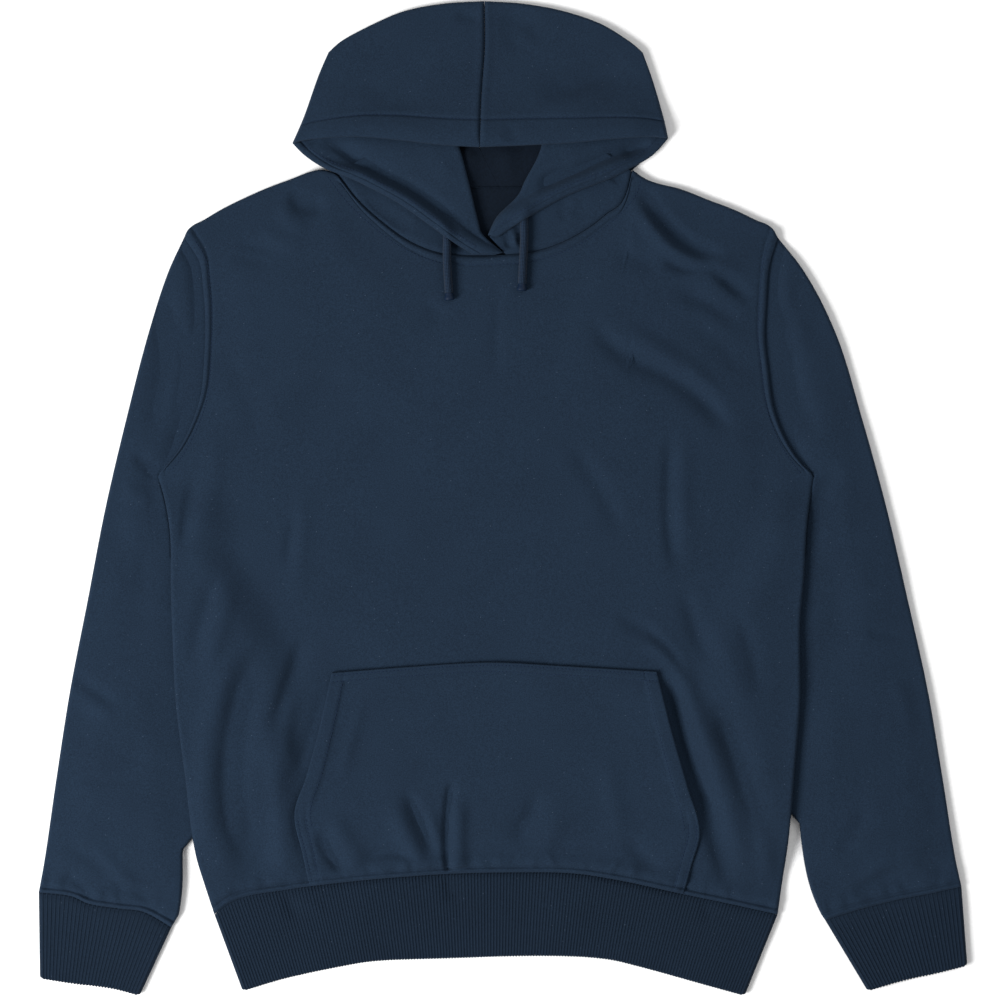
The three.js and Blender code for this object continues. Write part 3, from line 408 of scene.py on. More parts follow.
def puckers(line: Line, seed: int, count: int, length: float, half: float, rise: float) -> tuple[Crease, ...]:
    """Short creases that stand square on a seam, unevenly spaced.

    Args:
        line: the seam; they lie on its left.
        seed: fixes their places.
        count: how many there are.
        length: the longest one's length.
        half: their half width.
        rise: the highest one's height; every other one is a trough.

    Returns:
        The creases.
    """
    random = np.random.default_rng(seed)
    found = []
    for i in range(count):
        share = (i + random.uniform(0.1, 0.9)) / count
        here, ahead = line.at(share)[:2], line.at(min(1.0, share + 0.01))[:2]
        run = (ahead - here) / (np.linalg.norm(ahead - here) + 1e-9)
        out = np.array([-run[1], run[0]]) + run * random.uniform(-0.5, 0.5)
        far = here + out * length * random.uniform(0.45, 1.0)
        sign = 1 if i % 2 else -1
        found.append(Crease((tuple(here), tuple(far)), half * random.uniform(0.7, 1.3),
                            sign * rise * random.uniform(0.4, 1.0), fade=0.45))
    return tuple(found)


def fall(distance: Array, radius: float) -> Array:
    """How far a rounded edge lies below the flat.

    Args:
        distance: distance in from the edge.
        radius: of the rounding.

    Returns:
        Depth at each distance.
    """
    rest = 1 - np.clip(distance, 0, radius) / radius
    return radius * (1 - np.sqrt(np.clip(1 - rest * rest, 0, 1)))


def net_quads(rows: int, columns: int, first: int = 0, wrap: bool = False, wrap_rows: bool = False,
              flip: bool = False) -> Array:
    """Quads of a net.

    Args:
        rows: rows of points, running up.
        columns: points in a row, running right.
        first: index of the first point.
        wrap: whether each row is a closed turn.
        wrap_rows: whether the last row joins the first.
        flip: whether the faces are turned over.

    Returns:
        An array of four indices for each quad.
    """
    i, j = np.meshgrid(np.arange(rows if wrap_rows else rows - 1),
                       np.arange(columns if wrap else columns - 1),
                       indexing="ij")
    up, right = (i + 1) % rows, (j + 1) % columns
    quads = first + np.stack([i * columns + j, i * columns + right,
                              up * columns + right, up * columns + j], -1)
    quads = quads.reshape(-1, 4)
    return quads[:, ::-1] if flip else quads


def wall(outer: Array, inner: Array, quads: Array) -> tuple[Array, Array]:
    """Closes a wall of cloth: both skins share the same quads, and a rim follows the free edges.

    Args:
        outer: points of the outer skin.
        inner: points of the inner skin.
        quads: quads of the outer skin.

    Returns:
        All points and all quads.
    """
    count = len(outer)
    edges = np.concatenate([quads[:, [k, (k + 1) % 4]] for k in range(4)]).astype(np.int64)
    edges = edges[edges[:, 0] != edges[:, 1]]
    key, back = edges[:, 0] * count + edges[:, 1], edges[:, 1] * count + edges[:, 0]
    free = edges[~np.isin(key, back)]
    rim = np.stack([free[:, 1], free[:, 0], free[:, 0] + count, free[:, 1] + count], -1)
    return np.concatenate([outer, inner]), np.concatenate([quads, quads[:, ::-1] + count, rim])


def make_piece(name: str, points: Array, quads: Array, look: bpy.types.Material) -> bpy.types.Object:
    """Makes a smooth mesh object from points in millimetres.

    Args:
        name: the object's name.
        points: its points.
        quads: its faces.
        look: its material.

    Returns:
        The object, in the scene.
    """
    faces = [list(dict.fromkeys(quad)) for quad in quads.tolist()]
    mesh = bpy.data.meshes.new(name)
    mesh.from_pydata((points * MM).tolist(), [], [face for face in faces if len(face) > 2])
    mesh.validate()
    mesh.polygons.foreach_set("use_smooth", [True] * len(mesh.polygons))
    mesh.materials.append(look)
    piece = bpy.data.objects.new(name, mesh)
    bpy.context.scene.collection.objects.link(piece)
    LOG.info("%s: %d faces", name, len(mesh.polygons))
    return piece


class Surface:
    """The upper surface of some pieces, for laying stitches on them."""

    def __init__(self, *pieces: bpy.types.Object) -> None:
        """Takes the pieces.

        Args:
            pieces: the meshes.
        """
        points, faces = [], []
        for piece in pieces:
            shift = len(points)
            points += [v.co.copy() for v in piece.data.vertices]
            faces += [[i + shift for i in p.vertices] for p in piece.data.polygons]
        self.tree = BVHTree.FromPolygons(points, faces)

    def dropped(self, places: Array, lift: float) -> list[tuple[float, float, float]]:
        """Plan places put on the surface, raised by lift; those off it are left out.

        Args:
            places: places in plan.
            lift: how far over the surface.

        Returns:
            The points.
        """
        found = []
        for x, y in places[:, :2]:
            hit = self.tree.ray_cast(Vector((x * MM, y * MM, 1.0)), Vector((0, 0, -1)))[0]
            if hit is not None:
                found.append((x, y, hit.z / MM + lift))
        return found


# Looks ------------------------------------------------------------------------------------------


def add(tree: bpy.types.NodeTree, kind: str, settings: dict | None = None,
        **inputs: object) -> bpy.types.Node:
    """Adds a node with its settings and links.

    Args:
        tree: the node tree.
        kind: the node's type name.
        settings: its properties by name.
        **inputs: its inputs by name, with _ for a space, or i and a number; a socket is linked.

    Returns:
        The node.
    """
    node = tree.nodes.new(kind)
    for key, value in (settings or {}).items():
        setattr(node, key, value)
    for key, value in inputs.items():
        by_number = key[0] == "i" and key[1:].isdigit()
        socket = node.inputs[int(key[1:])] if by_number else node.inputs[key.replace("_", " ")]
        if isinstance(value, bpy.types.NodeSocket):
            tree.links.new(value, socket)
        else:
            socket.default_value = value
    return node


def linear(hex_colour: str) -> tuple[float, float, float, float]:
    """A linear colour from an sRGB hex value.

    Args:
        hex_colour: such as #233142.

    Returns:
        Red, green, blue and alpha.
    """
    parts = [int(hex_colour[i:i + 2], 16) / 255 for i in (1, 3, 5)]
    return (*[c / 12.92 if c <= 0.04045 else ((c + 0.055) / 1.055) ** 2.4 for c in parts], 1.0)


@dataclass(frozen=True)
class KnitCloth:
    """Cotton knit, piece-dyed: a matt ground, paler and darker yarn in its face, and a little lint."""

    name: str
    dark: str
    pale: str
    grain: float = 1.1  # size of the yarn mottle, drawn coarser than the 0.7 mm loops so that it shows
    roughness: float = 0.95
    sheen: float = 0.07
    bump: float = 0.35
    lint: float = 0.22

    def make(self) -> bpy.types.Material:
        """Makes the material.

        Returns:
            The material.
        """
        look = bpy.data.materials.new(self.name)
        look.use_nodes = True
        tree = look.node_tree
        tree.nodes.clear()
        place = add(tree, "ShaderNodeTexCoord").outputs["Object"]
        yarn = add(tree, "ShaderNodeTexNoise", Vector=place, Scale=1000 / self.grain, Detail=2.0,
                   Roughness=0.65)
        patch = add(tree, "ShaderNodeTexNoise", Vector=place, Scale=1000 / 46.0, Detail=3.0, Roughness=0.55)
        spread = add(tree, "ShaderNodeMapRange", {"clamp": True}, Value=yarn.outputs["Fac"], From_Min=0.3,
                     From_Max=0.7)
        tone = add(tree, "ShaderNodeMapRange", {"clamp": True}, Value=patch.outputs["Fac"], From_Min=0.3,
                   From_Max=0.7, To_Min=-0.09, To_Max=0.09)
        share = add(tree, "ShaderNodeMath", {"operation": "ADD", "use_clamp": True},
                    i0=spread.outputs["Result"],
                    i1=tone.outputs["Result"])
        ground = add(tree, "ShaderNodeMix", {"data_type": "RGBA"}, Factor=share.outputs[0],
                     i6=linear(self.dark),
                     i7=linear(self.pale))
        fluff = add(tree, "ShaderNodeTexVoronoi", Vector=place, Scale=1000 / 9.0)
        speck = add(tree, "ShaderNodeMath", {"operation": "LESS_THAN"}, i0=fluff.outputs["Distance"],
                    i1=0.045)
        amount = add(tree, "ShaderNodeMath", {"operation": "MULTIPLY"}, i0=speck.outputs[0], i1=self.lint)
        colour = add(tree, "ShaderNodeMix", {"data_type": "RGBA"}, Factor=amount.outputs[0],
                     i6=ground.outputs[2], i7=linear("#64748a"))
        loops = add(tree, "ShaderNodeTexNoise", Vector=place, Scale=1000 / 0.8, Detail=3.0, Roughness=0.7)
        nap = add(tree, "ShaderNodeTexNoise", Vector=place, Scale=1000 / 4.5, Detail=2.0)
        fine = add(tree, "ShaderNodeBump", Height=loops.outputs["Fac"], Strength=self.bump,
                   Distance=0.35 * MM)
        soft = add(tree, "ShaderNodeBump", Height=nap.outputs["Fac"], Normal=fine.outputs[0], Strength=0.3,
                   Distance=0.5 * MM)
        shader = add(tree, "ShaderNodeBsdfPrincipled", Base_Color=colour.outputs[2], Roughness=self.roughness,
                     Normal=soft.outputs[0], Sheen_Weight=self.sheen, Sheen_Roughness=0.5,
                     Sheen_Tint=linear("#7d93b0"), Specular_IOR_Level=0.12)
        add(tree, "ShaderNodeOutputMaterial", Surface=shader.outputs[0])
        return look


@dataclass(frozen=True)
class BraidedCord:
    """Round braided cotton cord: paler and darker strands cross in small flecks."""

    name: str = "braided_cotton_cord"

    def make(self) -> bpy.types.Material:
        """Makes the material; it reads the cord's own UV map, in turns and millimetres.

        Returns:
            The material.
        """
        look = bpy.data.materials.new(self.name)
        look.use_nodes = True
        tree = look.node_tree
        tree.nodes.clear()
        place = add(tree, "ShaderNodeTexCoord").outputs["UV"]
        split = add(tree, "ShaderNodeSeparateXYZ", Vector=place)
        waves = []
        for slant in (1.0, -1.0):
            turn = add(tree, "ShaderNodeMath", {"operation": "MULTIPLY"}, i0=split.outputs[0], i1=8.0 * slant)
            run = add(tree, "ShaderNodeMath", {"operation": "MULTIPLY"}, i0=split.outputs[1], i1=0.42)
            both = add(tree, "ShaderNodeMath", {"operation": "ADD"}, i0=turn.outputs[0], i1=run.outputs[0])
            angle = add(tree, "ShaderNodeMath", {"operation": "MULTIPLY"}, i0=both.outputs[0], i1=2 * math.pi)
            waves.append(add(tree, "ShaderNodeMath", {"operation": "SINE"}, i0=angle.outputs[0]).outputs[0])
        cross = add(tree, "ShaderNodeMath", {"operation": "MULTIPLY"}, i0=waves[0], i1=waves[1])
        share = add(tree, "ShaderNodeMapRange", {"clamp": True}, Value=cross.outputs[0], From_Min=-0.4,
                    From_Max=0.5)
        colour = add(tree, "ShaderNodeMix", {"data_type": "RGBA"}, Factor=share.outputs["Result"],
                     i6=linear("#0c1623"), i7=linear("#223246"))
        bump = add(tree, "ShaderNodeBump", Height=cross.outputs[0], Strength=0.6, Distance=0.4 * MM)
        shader = add(tree, "ShaderNodeBsdfPrincipled", Base_Color=colour.outputs[2], Roughness=0.9,
                     Normal=bump.outputs[0], Sheen_Weight=0.03, Specular_IOR_Level=0.1)
        add(tree, "ShaderNodeOutputMaterial", Surface=shader.outputs[0])
        return look


@dataclass(frozen=True)
class PlainFinish:
    """A small plain finish, such as dipped cord ends, sewing thread or a painted table."""

    name: str
    colour: str
    roughness: float
    specular: float = 0.3

    def make(self) -> bpy.types.Material:
        """Makes the material, with a faint mottle in its colour.

        Returns:
            The material.
        """
        look = bpy.data.materials.new(self.name)
        look.use_nodes = True
        tree = look.node_tree
        tree.nodes.clear()
        place = add(tree, "ShaderNodeTexCoord").outputs["Object"]
        mottle = add(tree, "ShaderNodeTexNoise", Vector=place, Scale=1000 / 2.5, Detail=2.0)
        share = add(tree, "ShaderNodeMapRange", {"clamp": True}, Value=mottle.outputs["Fac"], From_Min=0.3,
                    From_Max=0.7, To_Min=0.0, To_Max=0.25)
        shade = tuple(c * 0.8 for c in linear(self.colour)[:3])
        colour = add(tree, "ShaderNodeMix", {"data_type": "RGBA"}, Factor=share.outputs["Result"],
                     i6=linear(self.colour), i7=(*shade, 1.0))
        shader = add(tree, "ShaderNodeBsdfPrincipled", Base_Color=colour.outputs[2], Roughness=self.roughness,
                     Specular_IOR_Level=self.specular)
        add(tree, "ShaderNodeOutputMaterial", Surface=shader.outputs[0])
        return look


class Slot(Enum):
    """Material slots of the record."""

    FLEECE = "fleece"
    RIB = "rib_knit"
    CORD = "drawcord"
    TIP = "cord_tip"


@dataclass
class Wardrobe:
    """All finishes of the garment."""

    fleece: bpy.types.Material = field(init=False)
    inside: bpy.types.Material = field(init=False)
    rib: bpy.types.Material = field(init=False)
    cord: bpy.types.Material = field(init=False)
    tip: bpy.types.Material = field(init=False)
    thread: bpy.types.Material = field(init=False)

    def __post_init__(self) -> None:
        """Makes each finish once."""
        # jersey face of a brushed fleece: matt navy with a fine heathered grain
        self.fleece = KnitCloth("navy_fleece_face", "#121e2c", "#1b2a3b").make()
        # looped back of the same fleece, seen deep in the hood: rougher, without sheen, and painted much
        # darker as the shade that falls deep in the hood
        self.inside = KnitCloth("navy_fleece_back_painted_shade", "#060e18", "#0a1420", grain=1.6, bump=0.5, lint=0.02,
                                sheen=0.0).make()
        # one by one rib knit of the same yarn, its colour painted darker all over as shade for its furrows
        self.rib = KnitCloth("navy_rib_knit_painted_shade", "#0d1824", "#152231", bump=0.25).make()
        self.cord = BraidedCord().make()
        # cord end dipped in soft plastic: darker and slightly glossy
        self.tip = PlainFinish("dipped_cord_end", "#0a1a2e", 0.55, 0.15).make()
        # spun polyester sewing thread, a shade darker than the cloth
        self.thread = PlainFinish("navy_sewing_thread", "#16243a", 0.8, 0.12).make()


def finish_piece(piece: bpy.types.Object, slot: Slot, *nodes: str) -> None:
    """Puts a piece on the garment's one body, in place of the named solids.

    Args:
        piece: the finished mesh.
        slot: not used.
        nodes: the solids that it replaces.
    """
    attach(piece, "root")
    if nodes:
        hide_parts(*nodes)


# Geometry node trees ----------------------------------------------------------------------------


def node_group(name: str, sizes: dict[str, float]
               ) -> tuple[bpy.types.NodeTree, bpy.types.Node, dict[str, str]]:
    """Starts a geometry tree with named sizes.

    Args:
        name: the tree's name.
        sizes: its number inputs and their values.

    Returns:
        The tree, its input node, and each input's identifier by name.
    """
    tree = bpy.data.node_groups.new(name, "GeometryNodeTree")
    tree.interface.new_socket("Guides", in_out="INPUT", socket_type="NodeSocketGeometry")
    keys = {}
    for label, value in sizes.items():
        socket = tree.interface.new_socket(label, in_out="INPUT", socket_type="NodeSocketFloat")
        socket.default_value = value
        keys[label] = socket.identifier
    tree.interface.new_socket("Piece", in_out="OUTPUT", socket_type="NodeSocketGeometry")
    return tree, tree.nodes.new("NodeGroupInput"), keys


def end_group(tree: bpy.types.NodeTree, shape: bpy.types.NodeSocket, look: bpy.types.Material) -> None:
    """Ends a tree: instances made real, and the material set.

    Args:
        tree: the tree.
        shape: what gives its shape.
        look: its material.
    """
    real = add(tree, "GeometryNodeRealizeInstances", Geometry=shape)
    dressed = add(tree, "GeometryNodeSetMaterial", Geometry=real.outputs[0], Material=look)
    out = tree.nodes.new("NodeGroupOutput")
    tree.links.new(dressed.outputs[0], out.inputs[0])


def stitch_tree(look: bpy.types.Material) -> tuple[bpy.types.NodeTree, dict[str, str]]:
    """Tree that lays small thread stitches end to end along guide lines.

    Args:
        look: its material.

    Returns:
        The tree, and the identifiers of its inputs.
    """
    tree, given, keys = node_group("stitches_along_seam", {"Pitch": 3.2 * MM, "Length": 1.15 * MM,
                                                           "Thread": 0.34 * MM})
    curve = add(tree, "GeometryNodeMeshToCurve", Mesh=given.outputs["Guides"])
    even = add(tree, "GeometryNodeResampleCurve", {"mode": "LENGTH"}, Curve=curve.outputs[0],
               Length=given.outputs["Pitch"])
    bead = add(tree, "GeometryNodeMeshUVSphere", Segments=6, Rings=4, Radius=1.0)
    size = add(tree, "ShaderNodeCombineXYZ", X=given.outputs["Thread"], Y=given.outputs["Thread"],
               Z=given.outputs["Length"])
    stitch = add(tree, "GeometryNodeTransform", Geometry=bead.outputs[0], Scale=size.outputs[0])
    run = add(tree, "GeometryNodeInputTangent")
    turn = add(tree, "FunctionNodeAlignRotationToVector", {"axis": "Z"}, Vector=run.outputs[0])
    laid = add(tree, "GeometryNodeInstanceOnPoints", Points=even.outputs[0], Instance=stitch.outputs[0],
               Rotation=turn.outputs[0])
    end_group(tree, laid.outputs[0], look)
    return tree, keys


def rib_tree(look: bpy.types.Material) -> tuple[bpy.types.NodeTree, dict[str, str]]:
    """Tree that runs a round rib of knit along each guide line.

    Args:
        look: its material.

    Returns:
        The tree, and the identifiers of its inputs.
    """
    tree, given, keys = node_group("ribs_along_band", {"Rib radius": RIB_RADIUS * MM})
    curve = add(tree, "GeometryNodeMeshToCurve", Mesh=given.outputs["Guides"])
    ring = add(tree, "GeometryNodeCurvePrimitiveCircle", Resolution=6, Radius=given.outputs["Rib radius"])
    tube = add(tree, "GeometryNodeCurveToMesh", Curve=curve.outputs[0], Profile_Curve=ring.outputs[0],
               Fill_Caps=True)
    smooth = add(tree, "GeometryNodeSetShadeSmooth", Geometry=tube.outputs[0])
    end_group(tree, smooth.outputs[0], look)
    return tree, keys


def grown(name: str, guides: list[list[tuple]], tree: bpy.types.NodeTree, keys: dict[str, str],
          sizes: dict[str, float]) -> bpy.types.Object:
    """Runs a geometry tree on guide lines and keeps the result as a plain mesh.

    Args:
        name: the piece's name.
        guides: lines of points, in millimetres.
        tree: the geometry tree.
        keys: its inputs' identifiers.
        sizes: input values by name.

    Returns:
        The piece.
    """
    points, edges = [], []
    for line in guides:
        first = len(points)
        points += [tuple(c * MM for c in point) for point in line]
        edges += [(i, i + 1) for i in range(first, len(points) - 1)]
    mesh = bpy.data.meshes.new(name + "_guides")
    mesh.from_pydata(points, edges, [])
    piece = bpy.data.objects.new(name, mesh)
    bpy.context.scene.collection.objects.link(piece)
    modifier = piece.modifiers.new("grow", "NODES")
    modifier.node_group = tree
    for label, value in sizes.items():
        modifier[keys[label]] = value
    seen = piece.evaluated_get(bpy.context.evaluated_depsgraph_get())
    made = bpy.data.meshes.new_from_object(seen)
    piece.modifiers.remove(modifier)
    piece.data = made
    made.polygons.foreach_set("use_smooth", [True] * len(made.polygons))
    LOG.info("%s: %d faces", name, len(made.polygons))
    return piece


# The garment ------------------------------------------------------------------------------------


@dataclass
class Studio:
    """Camera, light and table."""

    distance: float = 5.0
    sensor: float = 36.0
    table: float = 7.0

    def camera(self) -> None:
        """A camera straight above the table, with the picture's frame."""
        data = bpy.data.cameras.new("overhead_camera")
        data.sensor_width = self.sensor
        data.lens = self.sensor * self.distance / (FRAME_WIDTH * MM)
        data.clip_end = 50.0
        camera = bpy.data.objects.new("overhead_camera", data)
        camera.location = (FRAME_MIDDLE[0] * MM, FRAME_MIDDLE[1] * MM, self.distance)
        bpy.context.scene.collection.objects.link(camera)
        bpy.context.scene.camera = camera

    def light(self, name: str, place: tuple, size: float, power: float) -> None:
        """A soft square light turned to the garment.

        Args:
            name: its name.
            place: where it hangs, in metres.
            size: its side, in metres.
            power: its power, in watts.
        """
        data = bpy.data.lights.new(name, "AREA")
        data.size = size
        data.energy = power
        lamp = bpy.data.objects.new(name, data)
        lamp.location = place
        lamp.rotation_euler = (-Vector(place)).to_track_quat("-Z", "Y").to_euler()
        bpy.context.scene.collection.objects.link(lamp)

    def build(self) -> None:
        """Table, lights and the white room."""
        half = self.table / 2
        mesh = bpy.data.meshes.new("table")
        mesh.from_pydata([(-half, -half, -0.0006), (half, -half, -0.0006), (half, half, -0.0006),
                          (-half, half, -0.0006)], [], [(0, 1, 2, 3)])
        mesh.materials.append(PlainFinish("white_table", "#fbfbfb", 0.9, 0.1).make())
        floor = bpy.data.objects.new("table", mesh)
        bpy.context.scene.collection.objects.link(floor)
        self.light("window_light", (-2.6, -1.2, 2.3), 1.7, 215)
        self.light("fill_light", (2.3, 2.0, 2.8), 2.6, 40)
        world = bpy.data.worlds.new("white_room")
        world.use_nodes = True
        back = world.node_tree.nodes["Background"]
        back.inputs["Color"].default_value = (1.0, 1.0, 1.0, 1.0)
        back.inputs["Strength"].default_value = 0.4
        bpy.context.scene.world = world
        bpy.context.scene.view_settings.view_transform = "Standard"


@dataclass
class Drawcord:
    """One free end of the drawcord and its dipped tip."""

    hand: str
    looks: Wardrobe
    diameter: float = CORD_DIAMETER
    braid: float = 0.28
    sides: int = 32
    tip_length: float = 6.0
    lead: float = 5.5
    dive: float = 1.8

    def ring(self, place: Array, run: Array, radii: Array) -> Array:
        """A turn of points about a place on the cord.

        Args:
            place: centre of the turn.
            run: direction of the cord there.
            radii: radius at each side.

        Returns:
            The points.
        """
        across = np.cross(run, (0.0, 0.0, 1.0))
        across /= np.linalg.norm(across)
        up = np.cross(across, run)
        angle = np.linspace(0, 2 * math.pi, self.sides, endpoint=False)
        return place + radii[:, None] * (np.cos(angle)[:, None] * across + np.sin(angle)[:, None] * up)

    def tube(self, name: str, line: Line, radius: Array, look: bpy.types.Material) -> bpy.types.Object:
        """A closed tube along a line, with a radius for each row and side.

        Args:
            name: the piece's name.
            line: its middle line.
            radius: radius for each row and side.
            look: its material.

        Returns:
            The tube.
        """
        rows = len(radius)
        shares = np.linspace(0, 1, rows)
        places = line.at(shares)
        runs = np.gradient(places, axis=0)
        runs /= np.linalg.norm(runs, axis=1)[:, None]
        rings = [self.ring(places[i], runs[i], radius[i]) for i in range(rows)]
        points = np.concatenate([*rings, places[:1], places[-1:]])
        quads = net_quads(rows, self.sides, wrap=True)
        first, last = rows * self.sides, rows * self.sides + 1
        step = np.arange(self.sides)
        ahead = (step + 1) % self.sides
        base = (rows - 1) * self.sides
        caps = [np.stack([ahead, step, np.full(self.sides, first), np.full(self.sides, first)], -1),
                np.stack([base + step, base + ahead, np.full(self.sides, last),
                          np.full(self.sides, last)], -1)]
        piece = make_piece(name, points, np.concatenate([quads, *caps]), look)
        layer = piece.data.uv_layers.new(name="braid")
        for polygon in piece.data.polygons:
            turns = [(self.turn_of(v, rows), v) for v in polygon.vertices]
            wide = max(t for t, _ in turns) > 0.75
            for loop, (turn, v) in zip(polygon.loop_indices, turns):
                row = min(rows - 1, v // self.sides)
                layer.data[loop].uv = (turn + (1.0 if wide and turn < 0.25 else 0.0),
                                       shares[row] * line.length)
        return piece

    def turn_of(self, index: int, rows: int) -> float:
        """Share of the turn at which a point of the tube lies."""
        return (index % self.sides) / self.sides if index < rows * self.sides else 0.5

    def build(self) -> list[bpy.types.Object]:
        """Cord and tip, dressed.

        Returns:
            The cord and its tip.
        """
        route = [np.array(p, float) for p in CORD_ROUTE[self.hand]]
        back = (route[0] - route[1]) / np.linalg.norm(route[0] - route[1])
        lead = route[0] + back * self.lead - np.array([0, 0, self.dive])
        line = Line([tuple(lead), *(tuple(p) for p in route)])
        rows = 150
        along = np.linspace(0, line.length, rows)[:, None]
        turn = np.linspace(0, 2 * math.pi, self.sides, endpoint=False)[None, :]
        strands = np.sin(8 * turn + 2.6 * along) * np.sin(-8 * turn + 2.6 * along)
        radius = self.diameter / 2 - self.braid / 2 + self.braid * strands
        cord = self.tube(f"cord_{self.hand}_braid", line, radius, self.looks.cord)
        end, before = line.points[-1], line.points[-2]
        run = (end - before) / np.linalg.norm(end - before)
        rows = 24
        share = np.linspace(0, 1, rows)[:, None]
        profile = (3.35 + 0.95 * ease(share, 0.05, 0.8) - 0.9 * ease(share, 0.9, 1.0)
                   - 0.4 * ease(share, 0.06, 0.0))
        tip_line = Line([tuple(end + run * 0.05), tuple(end + run * (self.tip_length + 0.25))])
        tip = self.tube(f"cord_{self.hand}_tip", tip_line, profile * np.ones((1, self.sides)), self.looks.tip)
        finish_piece(cord, Slot.CORD, f"drawcord_{self.hand}")
        finish_piece(tip, Slot.TIP, f"cord_tip_{self.hand}")
        return [cord, tip]


def body_edge(hand: str, up: Array) -> Array:
    """The body's side or armhole edge.

    Args:
        hand: which side.
        up: heights up the garment.

    Returns:
        Places across.
    """
    return np.where(up < SIDE[hand][-1][1], track(SIDE[hand], 1, 0, up), track(ARMHOLE[hand], 1, 0, up))


def sleeve_lift(x: Array, y: Array) -> Array:
    """How high the sleeves underneath raise the body.

    Args:
        x: places across.
        y: places up the garment.

    Returns:
        Height at each place.
    """
    total = np.zeros(x.shape)
    for hand, sign, low, high in (("left", -1, -352, -308), ("right", 1, -330, -284)):
        own = (x < 0) if hand == "left" else (x >= 0)
        inside = ease(sign * (x - track(SLEEVE_SEAM[hand], 1, 0, y)), -62, -18)
        total += own * inside * ease(y, 17, -26) * ease(y, low, high)
    return (LAID + SLEEVE_CLEARANCE) * total


def body_puff(x: Array, y: Array) -> Array:
    """Air between the layers: how far the front stands over its flat height, away from its edges.

    Args:
        x: places across.
        y: places up the garment.

    Returns:
        Height at each place.
    """
    side = np.minimum(x - body_edge("left", y), body_edge("right", y) - x)
    hem = y - track(HEM_SEAM, 0, 1, x)
    shoulder = np.where(x < FRONT_NECK[0][0], track(SHOULDER["left"], 0, 1, x),
                        track(SHOULDER["right"], 0, 1, x))
    neck = (x > FRONT_NECK[0][0]) & (x < FRONT_NECK[-1][0])
    top = np.where(neck, track(FRONT_NECK, 0, 1, x), shoulder) - y
    return BODY_PUFF * ease(side, 2, 44) * ease(hem, 5, 48) * ease(top, 10, 72)


NECK_DRESS = SeamDress(dip=1.6, dip_half=1.2, ridge=0.95, ridge_at=4.2, ridge_half=3.0,
                       groove=0.6, groove_at=8.0, groove_half=1.15)
ARM_DRESS = SeamDress(dip=0.5, dip_half=0.7, ridge=1.3, ridge_at=2.9, ridge_half=2.3,
                      groove=0.7, groove_at=6.0, groove_half=1.2)
BAND_DRESS = SeamDress(dip=1.0, dip_half=0.9, ridge=1.0, ridge_at=2.4, ridge_half=1.5,
                       groove=1.3, groove_at=4.9, groove_half=1.2, puff=1.0, puff_at=11.0, puff_half=5.5)

